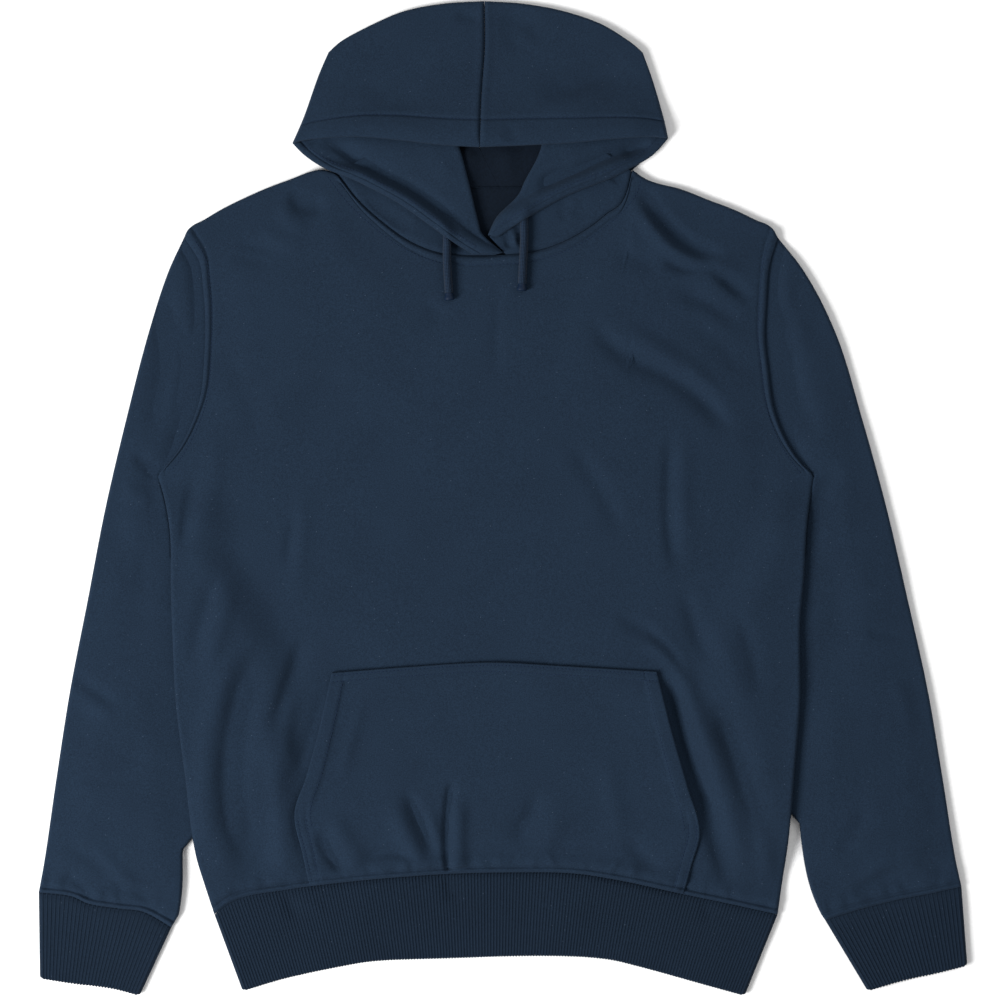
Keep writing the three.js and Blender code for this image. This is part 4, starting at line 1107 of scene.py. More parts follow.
# Creases of the front, seen from above, from the hem upward
FRONT_CREASES = (
    # soft trough and its ridges at the lower left, beside the pocket
    Crease(((-205, -118), (-222, -165), (-232, -215), (-231, -270), (-216, -330)), 14, -3.4, 0.25, 0.25),
    Crease(((-196, -190), (-193, -240), (-189, -300), (-186, -336)), 13, 2.6, 0.2, 0.25),
    Crease(((-252, -180), (-256, -250), (-250, -320)), 11, 1.6),
    Crease(((-168, -112), (-184, -158), (-200, -205)), 8, -1.8, 0.3),
    Crease(((-176, -160), (-186, -196), (-184, -240)), 7, 1.1),
    Crease(((-214, -120), (-238, -150), (-256, -215)), 9, 1.0),
    # left side, under the arm
    Crease(((-266, 25), (-271, -10), (-276, -48)), 6, -1.3, 0.3),
    Crease(((-243, -58), (-256, -100), (-268, -146)), 6.5, -1.5, -0.3),
    Crease(((-231, -70), (-244, -118), (-258, -160)), 8, 1.1),
    Crease(((-178, -8), (-183, -40), (-186, -66)), 5.5, -1.1, 0.2),
    Crease(((-170, 20), (-176, -60), (-172, -100)), 9, 0.8),
    Crease(((-254, 70), (-248, 20), (-262, -40)), 9, 0.7),
    Crease(((-246, 130), (-224, 96), (-206, 40)), 11, -0.7),
    Crease(((-190, 62), (-160, 92), (-128, 118)), 12, -0.8),
    # hollow beside the pocket's right opening
    Crease(((140, -152), (147, -182), (156, -216), (170, -252), (178, -280)), 6.5, -2.2, 0.0, 0.2),
    Crease(((-152, -160), (-163, -196), (-176, -240)), 5, -0.7, 0.0, 0.2),
    # curl that starts above the pocket and runs down its right side
    Crease(((94, -100), (122, -112), (146, -134), (160, -160)), 7, -2.2, -0.4, 0.3),
    Crease(((104, -113), (132, -128), (152, -152), (166, -190), (186, -245)), 8, 2.8, 0.2, 0.25),
    Crease(((178, -160), (196, -210), (212, -262), (226, -316)), 11, -3.0, 0.25, 0.3),
    Crease(((176, -210), (190, -262), (208, -322)), 8, 1.6),
    Crease(((166, -250), (180, -286), (196, -338)), 9, -2.6, 0.2, 0.3),
    Crease(((206, -250), (224, -300), (229, -340)), 8, 1.3),
    Crease(((152, -70), (168, -118), (184, -150)), 7, -1.3),
    Crease(((196, -90), (212, -130), (222, -178)), 7, -1.0, 0.2),
    Crease(((178, -100), (198, -150), (208, -190)), 9, 0.9),
    # right chest and under the arm
    Crease(((72, 160), (92, 134), (116, 118), (140, 108), (170, 86), (202, 52)), 7.5, -2.3, -0.25, 0.25),
    Crease(((92, 150), (124, 132), (160, 108), (196, 76)), 9, 1.7),
    Crease(((140, 124), (166, 98), (190, 70)), 6, -1.0),
    Crease(((146, 62), (142, 20), (143, -30), (150, -70)), 6.5, -1.6, 0.3, 0.25),
    Crease(((154, 66), (152, 10), (156, -60)), 9, 1.1),
    Crease(((48, 56), (70, 30), (92, -8), (104, -40)), 8, -1.1),
    Crease(((214, 60), (224, 10), (214, -60)), 11, -0.7),
    # right shoulder
    Crease(((120, 270), (136, 243), (156, 222), (172, 214), (192, 208)), 6.5, -3.9, -0.35, 0.25),
    Crease(((112, 262), (126, 236), (148, 212), (176, 198), (206, 190)), 8, 2.7, 0.1, 0.25),
    Crease(((130, 214), (150, 200), (178, 196), (200, 180), (218, 166)), 6, -2.7, 0.2, 0.3),
    Crease(((142, 182), (176, 168), (208, 148)), 8, -1.6),
    Crease(((94, 208), (116, 206), (138, 196)), 9, -1.2),
    Crease(((150, 158), (184, 134), (210, 104)), 9, -0.8),
    # left shoulder and neck
    Crease(((-176, 268), (-177, 256), (-168, 250), (-150, 251)), 6, -2.0, 0.2, 0.3),
    Crease(((-190, 258), (-184, 240), (-164, 230)), 8, 1.2),
    Crease(((-232, 220), (-212, 215), (-190, 214)), 5, -1.0, 0.2),
    Crease(((-236, 208), (-214, 204), (-196, 203)), 5, -0.8),
    Crease(((-212, 226), (-190, 222), (-166, 214)), 8, 0.9),
    # chest
    Crease(((-6, 196), (-5, 150), (-7, 96)), 5, -0.45),
    Crease(((-52, 170), (-58, 158), (-46, 150)), 12, -0.7),
)
POCKET_CREASES = (
    Crease(((-44, -240), (-48, -268), (-49, -300), (-46, -336)), 3.2, -2.4, 0.3, 0.2),
    Crease(((-36, -252), (-38, -290), (-37, -334)), 8, 1.5, -0.2, 0.3),
    Crease(((-86, -244), (-70, -278), (-52, -318)), 6, -1.6, -0.2, 0.3),
    Crease(((-98, -256), (-82, -292), (-66, -324)), 9, 1.3),
    Crease(((-62, -262), (-58, -300), (-54, -322)), 5, 1.0),
    Crease(((36, -250), (22, -274), (8, -300)), 8, -1.1),
    Crease(((54, -262), (38, -296), (24, -322)), 9, 0.7),
    Crease(((-128, -318), (-108, -306), (-86, -306), (-70, -318)), 5, -1.1, 0.2),
    Crease(((-158, -282), (-150, -304), (-134, -326)), 6.5, -1.5, 0.2, 0.3),
    Crease(((-148, -268), (-134, -296), (-118, -316)), 8, 0.9),
    Crease(((104, -288), (122, -310), (140, -326)), 7, -0.9),
    Crease(((88, -216), (96, -262), (104, -302)), 10, 0.7),
    Crease(((-118, -170), (-130, -206), (-140, -246)), 6, 0.6),
)
BACK_CREASES = (
    Crease(((-200, -110), (-214, -180), (-206, -280)), 16, 0.9),
    Crease(((170, -90), (196, -170), (204, -270)), 15, 0.8),
    Crease(((-60, -60), (-30, -180), (-40, -300)), 18, 0.6),
    Crease(((60, 160), (120, 100), (190, 40)), 14, 0.8),
    Crease(((-70, 190), (-140, 120), (-220, 70)), 14, 0.7),
)
SLEEVE_CREASES = {
    "left": (
        Crease(((-302, 190), (-290, 150), (-292, 96), (-306, 40)), 13, -1.8, 0.2, 0.25),
        Crease(((-280, 160), (-272, 116), (-284, 60)), 6, -1.0),
        Crease(((-276, 132), (-268, 126), (-258, 124)), 4, -0.9),
        Crease(((-318, 40), (-304, 26), (-296, 20)), 6, -1.4, 0.2),
        Crease(((-330, 8), (-312, 2), (-300, -6)), 7, 0.9),
        Crease(((-306, -14), (-316, -90), (-322, -170)), 15, -1.1),
        Crease(((-376, -150), (-356, -162), (-330, -180)), 5, -1.0, 0.2),
        Crease(((-372, -166), (-350, -178), (-330, -192)), 7, 0.7),
        Crease(((-366, -241), (-340, -243), (-312, -240)), 3.5, -0.7),
        Crease(((-386, -296), (-352, -310), (-320, -330)), 7, -1.0),
        Crease(((-356, -300), (-330, -322), (-306, -350)), 6, 1.1),
        Crease(((-340, -330), (-316, -338), (-296, -352)), 4.5, -1.1),
        Crease(((-378, -320), (-362, -334), (-352, -346)), 4, -0.8),
    ),
    "right": (
        Crease(((252, 190), (246, 140), (252, 90), (274, 40)), 13, -1.9, -0.2, 0.25),
        Crease(((238, 190), (252, 150), (250, 120)), 7, 0.8),
        Crease(((290, 30), (278, 10), (270, -10)), 8, -1.1),
        Crease(((282, -30), (286, -110), (276, -190)), 15, -1.2),
        Crease(((306, -113), (326, -117), (346, -114)), 3.2, -0.9, 0.2),
        Crease(((330, -150), (344, -176), (350, -210)), 7, 0.7),
        Crease(((296, -346), (320, -330), (346, -322)), 5, -1.2, 0.2),
        Crease(((300, -332), (330, -312), (366, -300)), 7, 1.1),
        Crease(((352, -312), (372, -316), (386, -322)), 5, -0.8),
        Crease(((286, -316), (300, -290), (320, -262)), 8, -0.9),
    ),
}


@dataclass
class BodyPanel:
    """The front or the back of the body: half of the laid form, rounded at its sides."""

    name: str
    neck: list
    is_front: bool
    look: bpy.types.Material
    spacing: float = 3.1
    edge_stops: tuple = (0.0, 0.35, 0.8, 1.4, 2.1, 3.0, 4.0, 4.9, 5.5, 5.95, 6.4, 7.0, 8.0, 9.6)
    top_stops: tuple = (0.0, 0.35, 0.8, 1.4, 2.1, 3.2, 4.6, 6.0, 7.0, 7.6, 8.05, 8.5, 9.1, 10.2, 12.0)
    hem_stops: tuple = (0.0, 0.35, 0.8, 1.5, 2.3, 3.1, 3.8, 4.4, 4.9, 5.4, 6.0, 7.0, 8.6, 10.6)
    press: float = 2.1
    shoulder_slope: float = 0.64
    shoulder_follow: int = 6

    def stops(self, low: Array, high: Array, first: tuple, last: tuple, count: int) -> Array:
        """Places from low to high: set distances in from both ends, and an even run between them.

        Args:
            low: where the run starts.
            high: where it ends.
            first: distances in from the start.
            last: distances in from the end.
            count: places between them.

        Returns:
            The places, along one more axis.
        """
        low, high = np.asarray(low, float), np.asarray(high, float)
        ends = first[-1] + self.spacing * 0.6, last[-1] + self.spacing * 0.6
        middle = [low + ends[0] + (high - ends[1] - low - ends[0]) * t for t in np.linspace(0, 1, count)]
        return np.stack([*(low + s for s in first), *middle, *(high - s for s in reversed(last))])

    def places(self) -> tuple[Array, Array, Array, Array, Array, Array]:
        """Net of the panel.

        Returns:
            Places across and up, and distances in from the side, the top and the hem, and whether
            the top is the neck.
        """
        wide = ARMHOLE["right"][-1][0] - ARMHOLE["left"][-1][0]
        columns = int(wide / self.spacing)
        top_x = self.stops(ARMHOLE["left"][-1][0], ARMHOLE["right"][-1][0], self.edge_stops,
                           self.edge_stops, columns)
        share = (top_x - top_x[0]) / (top_x[-1] - top_x[0])
        hem_x = HEM_SEAM[0][0] + (HEM_SEAM[-1][0] - HEM_SEAM[0][0]) * share
        low = track(HEM_SEAM, 0, 1, hem_x) + SEAM_GAP
        left_top = track(SHOULDER["left"], 0, 1, top_x)
        right_top = track(SHOULDER["right"], 0, 1, top_x)
        high = np.where(top_x <= self.neck[0][0], left_top,
                        np.where(top_x >= self.neck[-1][0], right_top, track(self.neck, 0, 1, top_x)))
        rows = int(560 / self.spacing)
        # below the shoulder the rows meet the armhole more squarely than its slope would have them
        from_tip = np.minimum(top_x - top_x[0], top_x[-1] - top_x)
        gentle = np.minimum(high, ARMHOLE["left"][-1][1] + self.shoulder_slope * from_tip)
        y = self.stops(low, gentle, self.hem_stops, self.top_stops, rows)
        follow = np.clip((y - low) / (gentle - low), 0, 1) ** self.shoulder_follow
        y += (self.stops(low, high, self.hem_stops, self.top_stops, rows) - y) * follow
        left, right = body_edge("left", y[:, 0]), body_edge("right", y[:, -1])
        x = self.stops(left, right, self.edge_stops, self.edge_stops, columns).T
        column = np.arange(x.shape[1])
        far = np.array([*self.edge_stops, *[self.edge_stops[-1] + 3.0] * columns, *reversed(self.edge_stops)])
        side = np.broadcast_to(far[column], x.shape)
        in_neck = ease(top_x, self.neck[0][0] - 3, self.neck[0][0] + 1) * ease(
            top_x, self.neck[-1][0] + 3, self.neck[-1][0] - 1)
        return x, y, side, high - y, y - low, np.broadcast_to(in_neck, x.shape)

    def build(self) -> bpy.types.Object:
        """The panel as a closed wall of cloth.

        Returns:
            The panel.
        """
        x, y, side, top, hem, in_neck = self.places()
        above = y > SIDE["left"][-1][1]
        round_side = np.where(above, RADIUS, side)
        round_top = np.where(in_neck > 0.5, RADIUS, top)
        edge = np.minimum(round_side, round_top)
        level = RADIUS - 0.75 * fall(edge, RADIUS)
        lift = sleeve_lift(x, y)
        if self.is_front:
            folds = self.press * relief(x, y, FRONT_CREASES)
            folds += relief(x, y, puckers(Line(HEM_SEAM), 11, 46, 26, 3.2, 1.2))
            # the front's own creases end where the pocket covers it
            beyond = np.maximum(x - track(POCKET_RIGHT, 1, 0, y), track(POCKET_LEFT, 1, 0, y) - x)
            under = ease(y, -136, -146) * ease(beyond, 5, -3)
            folds = folds * (1 - under) + unevenness(x, y, 3, 0.4)
            calm = ease(side, 0, 4) * ease(top, 0, 4) * ease(hem, 0, 4)
            seams = in_neck * NECK_DRESS.height(top) + BAND_DRESS.height(hem)
            seams += np.where(above, ARM_DRESS.height(side), 0.0) * ease(y, 19, 30)
            puff = body_puff(x, y)
            z = MIDDLE + level + lift + puff + folds * (0.25 + 0.75 * calm) + seams
            z = np.maximum(z, MIDDLE + lift + 0.45 * level - 0.4)
            under_z = np.where(edge < FLEECE, MIDDLE + SEAM_GAP / 2 + lift,
                               np.maximum(z - FLEECE, MIDDLE + lift + 0.2))
            under_z = np.minimum(under_z, z - 0.5)
            outer, inner = np.stack([x, y, z], -1), np.stack([x, y, under_z], -1)
        else:
            folds = relief(x, y, BACK_CREASES) * ease(side, 0, 12)
            z = MIDDLE - level + lift + folds
            over_z = np.where(edge < FLEECE, MIDDLE - SEAM_GAP / 2 + lift,
                              MIDDLE - (RADIUS - FLEECE) + lift + folds)
            outer, inner = np.stack([x, y, over_z], -1), np.stack([x, y, z], -1)
        points, quads = wall(outer.reshape(-1, 3), inner.reshape(-1, 3), net_quads(*x.shape))
        return make_piece(self.name, points, quads, self.look)


def turn_shares(count: int) -> tuple[Array, Array]:
    """Shares across a laid tube, over the top and back along the table, crowded at its edges.

    Args:
        count: runs across one side.

    Returns:
        The shares, and whether each lies on the upper side.
    """
    over = (1 - np.cos(np.linspace(0, math.pi, count + 1))) / 2
    upper = np.concatenate([np.ones(count + 1), np.zeros(count - 1)]) > 0.5
    return np.concatenate([over, over[-2:0:-1]]), upper


@dataclass
class Sleeve:
    """A sleeve, laid flat: rows run across it from its outer fold to the armhole and the underarm seam."""

    hand: str
    look: bpy.types.Material
    rows: int = 176
    inner_stops: tuple = (0.0, 0.35, 0.8, 1.3, 2.0, 2.8, 3.7, 4.8, 6.0, 7.4, 9.0, 11.5, 15.0, 19.5)
    fold_stops: tuple = (13.0, 9.5, 7.0, 5.2, 3.8, 2.7, 1.8, 1.1, 0.55, 0.2, 0.0)
    top_runs: int = 34
    under_runs: int = 12
    slip_under: tuple = (-30.0, -52.0)
    tuck: float = 0.8
    puff: float = 2.2
    valley: float = 2.7
    press: float = 2.0

    def inner_edge(self, up: Array) -> Array:
        """Place across of the armhole, and below it of the underarm seam, at heights up the garment.

        Args:
            up: heights up the garment.

        Returns:
            Places across.
        """
        away = -1 if self.hand == "left" else 1
        seam = track(SLEEVE_SEAM[self.hand], 1, 0, up)
        beside = body_edge(self.hand, up) + away * 0.06
        tucked = body_edge(self.hand, up) - away * self.tuck
        free = ease(up, *self.slip_under)
        below = tucked + (np.where(away * seam > away * tucked, tucked, seam) - tucked) * free
        return beside + (below - beside) * ease(up, ARMHOLE[self.hand][0][1], ARMHOLE[self.hand][0][1] - 4)

    def rows_at(self) -> tuple[Array, Array, Array]:
        """Rows: their places on the fold and on the inner edge, and their shares from the tip to the cuff.

        Returns:
            Places on the fold, places on the inner edge, and the shares.
        """
        cuff = np.array([12, 10.4, 9, 7.6, 6.4, 5.5, 4.9, 4.3, 3.5, 2.7, 1.9, 1.1, 0.5, 0]) / SLEEVE_RUN
        share = np.concatenate([np.linspace(0, 1, self.rows)[:-5] * (1 - 14 / SLEEVE_RUN) / 0.975, 1 - cuff])
        share = np.unique(np.clip(share, 0, 1))
        tip, end = ARMHOLE[self.hand][-1][1], SLEEVE_SEAM[self.hand][-1][1]
        fold_up = tip + (SLEEVE_TOP[self.hand][-1][1] - tip) * share
        inner_up = tip + (end - tip) * share
        fold = np.stack([track(SLEEVE_TOP[self.hand], 1, 0, fold_up), fold_up], -1)
        inner = np.stack([self.inner_edge(inner_up), inner_up], -1)
        return fold, inner, share

    def across(self, width: Array) -> tuple[Array, Array]:
        """Distances from the inner edge for each row, over the top and back under, and which are above.

        Args:
            width: width of each row.

        Returns:
            The distances, and which are above.
        """
        scale = np.clip(width / 70.0, 0.0, 1.0)[:, None]
        near, far = np.array(self.inner_stops)[None] * scale, np.array(self.fold_stops)[None] * scale
        between = np.linspace(0, 1, self.top_runs)[None]
        low, high = near[:, -1:] + 2.0 * scale, width[:, None] - far[:, :1] - 2.0 * scale
        top = np.concatenate([near, low + (high - low) * between, width[:, None] - far], 1)
        coarse = np.linspace(0, 1, self.under_runs)[None]
        back = np.concatenate([width[:, None] - far[:, -2::-1], high + (low - high) * coarse,
                               near[:, ::-1]], 1)
        upper = np.concatenate([np.ones(top.shape[1]), np.zeros(back.shape[1])]) > 0.5
        return np.concatenate([top, back], 1), np.broadcast_to(upper, (len(width), len(upper)))

    def build(self) -> bpy.types.Object:
        """The sleeve as a closed wall of cloth.

        Returns:
            The sleeve.
        """
        fold, inner, share = self.rows_at()
        width = np.linalg.norm(fold - inner, axis=1)
        away, upper = self.across(width)
        part = away / np.maximum(width, 0.01)[:, None]
        xy = inner[:, None] + (fold - inner)[:, None] * part[..., None]
        cuff_rows = CUFF_SEAM[self.hand] if self.hand == "left" else CUFF_SEAM[self.hand][::-1]
        end = Line(cuff_rows).at(1 - part[-1]) + np.array([0, SEAM_GAP / 2])
        xy += (end - xy[-1])[None] * (share**10)[:, None, None]
        x, y = xy[..., 0], xy[..., 1]
        wide = np.broadcast_to(width[:, None], x.shape)
        joined = ease(y, 16, 24)
        to_fold, to_inner = wide - away, away + 40 * joined
        level = RADIUS * (1 - fall(np.minimum(to_fold, to_inner), RADIUS) / RADIUS)
        cuff = (1 - share)[:, None] * SLEEVE_RUN
        hole = Line(ARMHOLE[self.hand]).nearest(x, y)[0]
        broad = (1.6 + 0.8 * ease(y, 60, 170)) * bell(hole, 0, 9.5)
        ridge = -ease(y, -10, 40) * (bell(hole, 0, 1.3) + broad)
        folds = (self.press * relief(x, y, SLEEVE_CREASES[self.hand])
                 + unevenness(x, y, 7 if self.hand == "left" else 8, 0.6)
                 + relief(x, y, puckers(Line(CUFF_SEAM[self.hand]), 21, 13, 24, 3.4, 1.3)))
        dress = ridge + folds * ease(hole, 0, 5) * ease(cuff, 0, 6) + BAND_DRESS.height(cuff)
        outside = (-1 if self.hand == "left" else 1) * (x - body_edge(self.hand, y))
        dress = dress + self.puff * ease(to_fold, 2, 40) * ease(outside, 3, 34) * ease(cuff, 3, 40)
        # valley of the sleeve head, beside the armhole seam
        dress = dress - self.valley * np.exp(-((np.maximum(outside, 0) / 10) ** 2)) * ease(y, 5, 60)
        # nothing stands up where the body lies on the sleeve
        dress = np.where(dress > 0.3, 0.3 + (dress - 0.3) * ease(outside, -1, 9), dress)
        rise = level / RADIUS * np.maximum(dress, -2.9)
        outer = np.stack([x, y, MIDDLE + np.where(upper, level + rise, -level)], -1)
        # the inner skin follows at one thickness of cloth, drawn in at the fold and at the underarm seam
        inset = np.clip(FLEECE - to_fold, 0, FLEECE) - np.clip(FLEECE - to_inner, 0, FLEECE)
        run = (inner - fold) / np.maximum(width, 0.01)[:, None]
        shift = inset * np.minimum(1, wide / 12)
        ix, iy = x + run[:, None, 0] * shift, y + run[:, None, 1] * shift
        thin = np.maximum(level - FLEECE, 0.0)
        iz = MIDDLE + np.where(upper, np.maximum(thin, level + rise - FLEECE), -thin)
        points, quads = wall(outer.reshape(-1, 3), np.stack([ix, iy, iz], -1).reshape(-1, 3),
                             net_quads(*x.shape, flip=self.hand == "right"))
        return make_piece(f"sleeve_{self.hand}_cloth", points, quads, self.look)


@dataclass
class RibBand:
    """A laid band of doubled rib knit, open at its fold like the cuff or hem that it is."""

    name: str
    seam: Line
    fold: Line
    ribs: int
    look: bpy.types.Material
    seed: int
    across: int = 60
    creases: tuple = ()

    def plan(self, share: Array, along: Array) -> Array:
        """Plan places between the seam and the fold."""
        a, b = self.seam.at(share), self.fold.at(share)
        return a + (b - a) * along[..., None]

    def skin(self, share: Array, upper: Array, along: Array, inset: Array) -> Array:
        """Points at places of the band's wall, inset from its outside.

        Args:
            share: places from side to side.
            upper: which are on the upper side.
            along: places from the seam to the fold.
            inset: depth under the outside.

        Returns:
            The points.
        """
        ends = self.plan(np.zeros_like(along), along), self.plan(np.ones_like(along), along)
        width = np.linalg.norm(ends[0] - ends[1], axis=-1)
        across = inset / width + share * (1 - 2 * inset / width)
        place = self.plan(across, along)
        x, y = place[..., 0], place[..., 1]
        radius = BAND_HEIGHT / 2 - inset
        edge = np.minimum(share, 1 - share) * (width - 2 * inset)
        level = radius - fall(edge, np.maximum(radius, 0.01))
        length = float(np.linalg.norm(self.fold.at(np.array(0.5)) - self.seam.at(np.array(0.5))))
        away = along * length
        shape = -1.3 * bell(away, 0, 3.0) + 0.35 * bell(away, 14, 12)
        shape = shape + unevenness(x, y, self.seed, 0.22) + relief(x, y, self.creases)
        shape = shape * (level / radius) * ease(inset, RIB_WALL, 0) - 0.35 * (inset <= 0)
        z = BAND_HEIGHT / 2 + np.where(upper, level + shape, 0.45 * (inset <= 0) - level)
        return np.stack([x, y, z], -1)

    def profile(self) -> tuple[Array, Array]:
        """Rows of the wall: out along the outside, round the fold, and back along the inside.

        Returns:
            Places from the seam to the fold, and depths under the outside.
        """
        length = float(np.linalg.norm(self.fold.at(np.array(0.5)) - self.seam.at(np.array(0.5))))
        turn = np.array([(1.4, 0.0), (0.7, 0.25), (0.2, 0.75), (0.0, 1.4), (0.2, 2.05),
                         (0.7, 2.55), (1.4, 2.8)])
        out = np.array([(d, 0.0) for d in (length, length - 1.5, length - 3, length - 5, length - 8,
                                           *np.linspace(length - 12, 4, 12))])
        back = np.array([(d, RIB_WALL) for d in (12.0, length / 2, length)])
        rows = np.concatenate([out, turn, back])
        return 1 - rows[:, 0] / length, rows[:, 1]

    def guides(self) -> list[list[tuple]]:
        """One line for each rib, from the seam along the outside and round the fold.

        Returns:
            The lines.
        """
        along, inset = self.profile()
        keep = len(along) - 2
        along, inset = along[:keep], inset[:keep]
        width = float(np.linalg.norm(self.seam.at(np.array(0.0)) - self.seam.at(np.array(1.0))))
        pitch = (width - 3.4) / width / self.ribs
        lines = []
        for upper in (True, False):
            for i in range(self.ribs):
                share = np.full(len(along), 1.7 / width + (i + 0.5) * pitch)
                points = self.skin(share, np.full(len(along), upper), along, inset)
                sink = 0.43 + 0.3 * bell((1 - along) * width, width, 14)
                points[:, 2] += np.where(inset < RIB_WALL / 2, -1, 1) * sink * (1 if upper else -1)
                lines.append([tuple(p) for p in points])
        return lines

    def build(self) -> bpy.types.Object:
        """The band's wall, without its ribs.

        Returns:
            The wall.
        """
        shares, upper = turn_shares(self.across)
        along, inset = self.profile()
        share, run = np.meshgrid(shares, along)
        deep = np.broadcast_to(inset[:, None], run.shape)
        points = self.skin(share, np.broadcast_to(upper, run.shape), run, deep).reshape(-1, 3)
        quads = net_quads(len(along), len(shares), wrap=True, wrap_rows=True, flip=True)
        return make_piece(self.name, points, quads, self.look)


@dataclass
class Pocket:
    """The hand-warmer pocket: its top and slanted edges turned in and sewn."""

    look: bpy.types.Material
    rows: int = 96
    columns: int = 132
    lift: float = 1.2
    gap: float = 0.45
    hem: float = 1.5
    press: float = 2.5
    width: float = 320.0
    height: float = 190.0

    def place(self, share: Array, up: Array) -> tuple[Array, Array, Array]:
        """Plan place of the pocket's cloth, and the height of its left edge there.

        Args:
            share: places from the left edge to the right.
            up: places from the seam to the top.

        Returns:
            Places across, places up, and the heights of the left edge.
        """
        left_up = POCKET_LEFT[0][1] + (POCKET_TOP[0][1] - POCKET_LEFT[0][1]) * up
        right_up = POCKET_RIGHT[0][1] + (POCKET_TOP[-1][1] - POCKET_RIGHT[0][1]) * up
        left, right = track(POCKET_LEFT, 1, 0, left_up), track(POCKET_RIGHT, 1, 0, right_up)
        x = left + (right - left) * share
        top_x = POCKET_TOP[0][0] + (POCKET_TOP[-1][0] - POCKET_TOP[0][0]) * share
        low_x = POCKET_LEFT[0][0] + (POCKET_RIGHT[0][0] - POCKET_LEFT[0][0]) * share
        low = track(HEM_SEAM, 0, 1, low_x) + 2 * SEAM_GAP
        return x, low + (track(POCKET_TOP, 0, 1, top_x) - low) * up, left_up

    def build(self) -> bpy.types.Object:
        """The pocket as a closed wall of cloth.

        Returns:
            The pocket.
        """
        width, height = self.width, self.height
        ends = np.array([0, 0.5, 1.1, 1.9, 2.9, 4.2, 5.6, 6.6, 7.2, 7.8, 8.6, 9.8,
                         11.2, 12.2, 12.9, 13.6, 14.6, 16.2])
        share = np.concatenate([ends / width, np.linspace(19 / width, 1 - 19 / width, self.columns),
                                1 - ends[::-1] / width])
        low = np.array([0, 0.4, 0.9, 1.6, 2.4, 3.2, 4.0, 4.6, 5.1, 5.7, 6.6, 8.0, 10.0])
        high = np.array([12, 10.2, 9.2, 8.6, 8.1, 7.6, 7.0, 6.0, 4.6, 3.2, 2.1, 1.3, 0.7, 0.3, 0])
        up = np.concatenate([low / height, np.linspace(12 / height, 1 - 14 / height, self.rows),
                             1 - high / height])
        s, u = np.meshgrid(share, up)
        x, y, left_up = self.place(s, u)
        side = np.minimum(s, 1 - s) * width
        top, bottom = (1 - u) * height, u * height
        slant = ease(left_up, -277, -255)
        opening = slant * ease(left_up, -152, -176)
        right_side = ease(s, 0.5, 0.95)
        stand = self.lift * (1 + 0.9 * right_side) * opening * ease(side, 60, 0)
        turned = self.hem * np.maximum(slant * ease(side, 15.5, 12.0), ease(top, 9.4, 7.2))
        stitched = np.where(slant > 0.5, bell(side, 12.6, 1.1), 0.0) * slant + (1 - slant) * (
            bell(side, 2.6, 1.0) + bell(side, 9.0, 1.1))
        rows = bell(top, 2.6, 0.9) + bell(top, 8.2, 1.1)
        round_edge = 0.9 * fall(np.minimum(side, top), 2.2) / 2.2
        folds = self.press * relief(x, y, POCKET_CREASES) * ease(side, 0, 14) * ease(top, 6, 22)
        folds += unevenness(x, y, 15, 0.3)
        seam = Line([(-166, -334), *HEM_SEAM[3:9], (155, -338)])
        folds += relief(x, y, puckers(seam, 31, 30, 22, 3.2, 1.2))
        folds *= ease(bottom, 0, 7) * ease(side, 0, 9)
        base = LAID + body_puff(x, y)
        over = base + self.gap + FLEECE + stand + turned + folds - 0.45 * stitched - 0.4 * rows - round_edge
        over += BAND_DRESS.height(bottom) + 1.1 * ease(bottom, 26, 8) * ease(bottom, 0, 6)
        over -= 1.5 * ease(side, 7, 0) * ease(bottom, 12, 3)
        over = np.maximum(over, base + 0.9 - 1.6 * ease(np.minimum(side, top), 12, 24))
        under = np.maximum(np.minimum(base, over - 1.0) + 0.3, over - FLEECE - turned * 0.9)
        under = np.minimum(under, over - 0.8)
        outer, inner = np.stack([x, y, over], -1), np.stack([x, y, under], -1)
        points, quads = wall(outer.reshape(-1, 3), inner.reshape(-1, 3), net_quads(*x.shape))
        return make_piece("pocket_cloth", points, quads, self.look)

    def edge_line(self, hand: str, inset: float, low: float, high: float) -> Line:
        """A line inside the pocket's side edge, between two heights from its seam (0) to its top (1).

        Args:
            hand: which edge.
            inset: distance from it.
            low: where it starts.
            high: where it ends.

        Returns:
            The line.
        """
        up = np.linspace(low, high, 50)
        share = np.full(50, inset / self.width)
        x, y, _ = self.place(share if hand == "left" else 1 - share, up)
        return Line(list(zip(x, y)), smooth=False)

    def top_line(self, inset: float) -> Line:
        """A line inside the pocket's top edge.

        Args:
            inset: distance from the top edge.

        Returns:
            The line.
        """
        share = np.linspace(3 / self.width, 1 - 3 / self.width, 60)
        x, y, _ = self.place(share, np.full(60, 1 - inset / self.height))
        return Line(list(zip(x, y)), smooth=False)


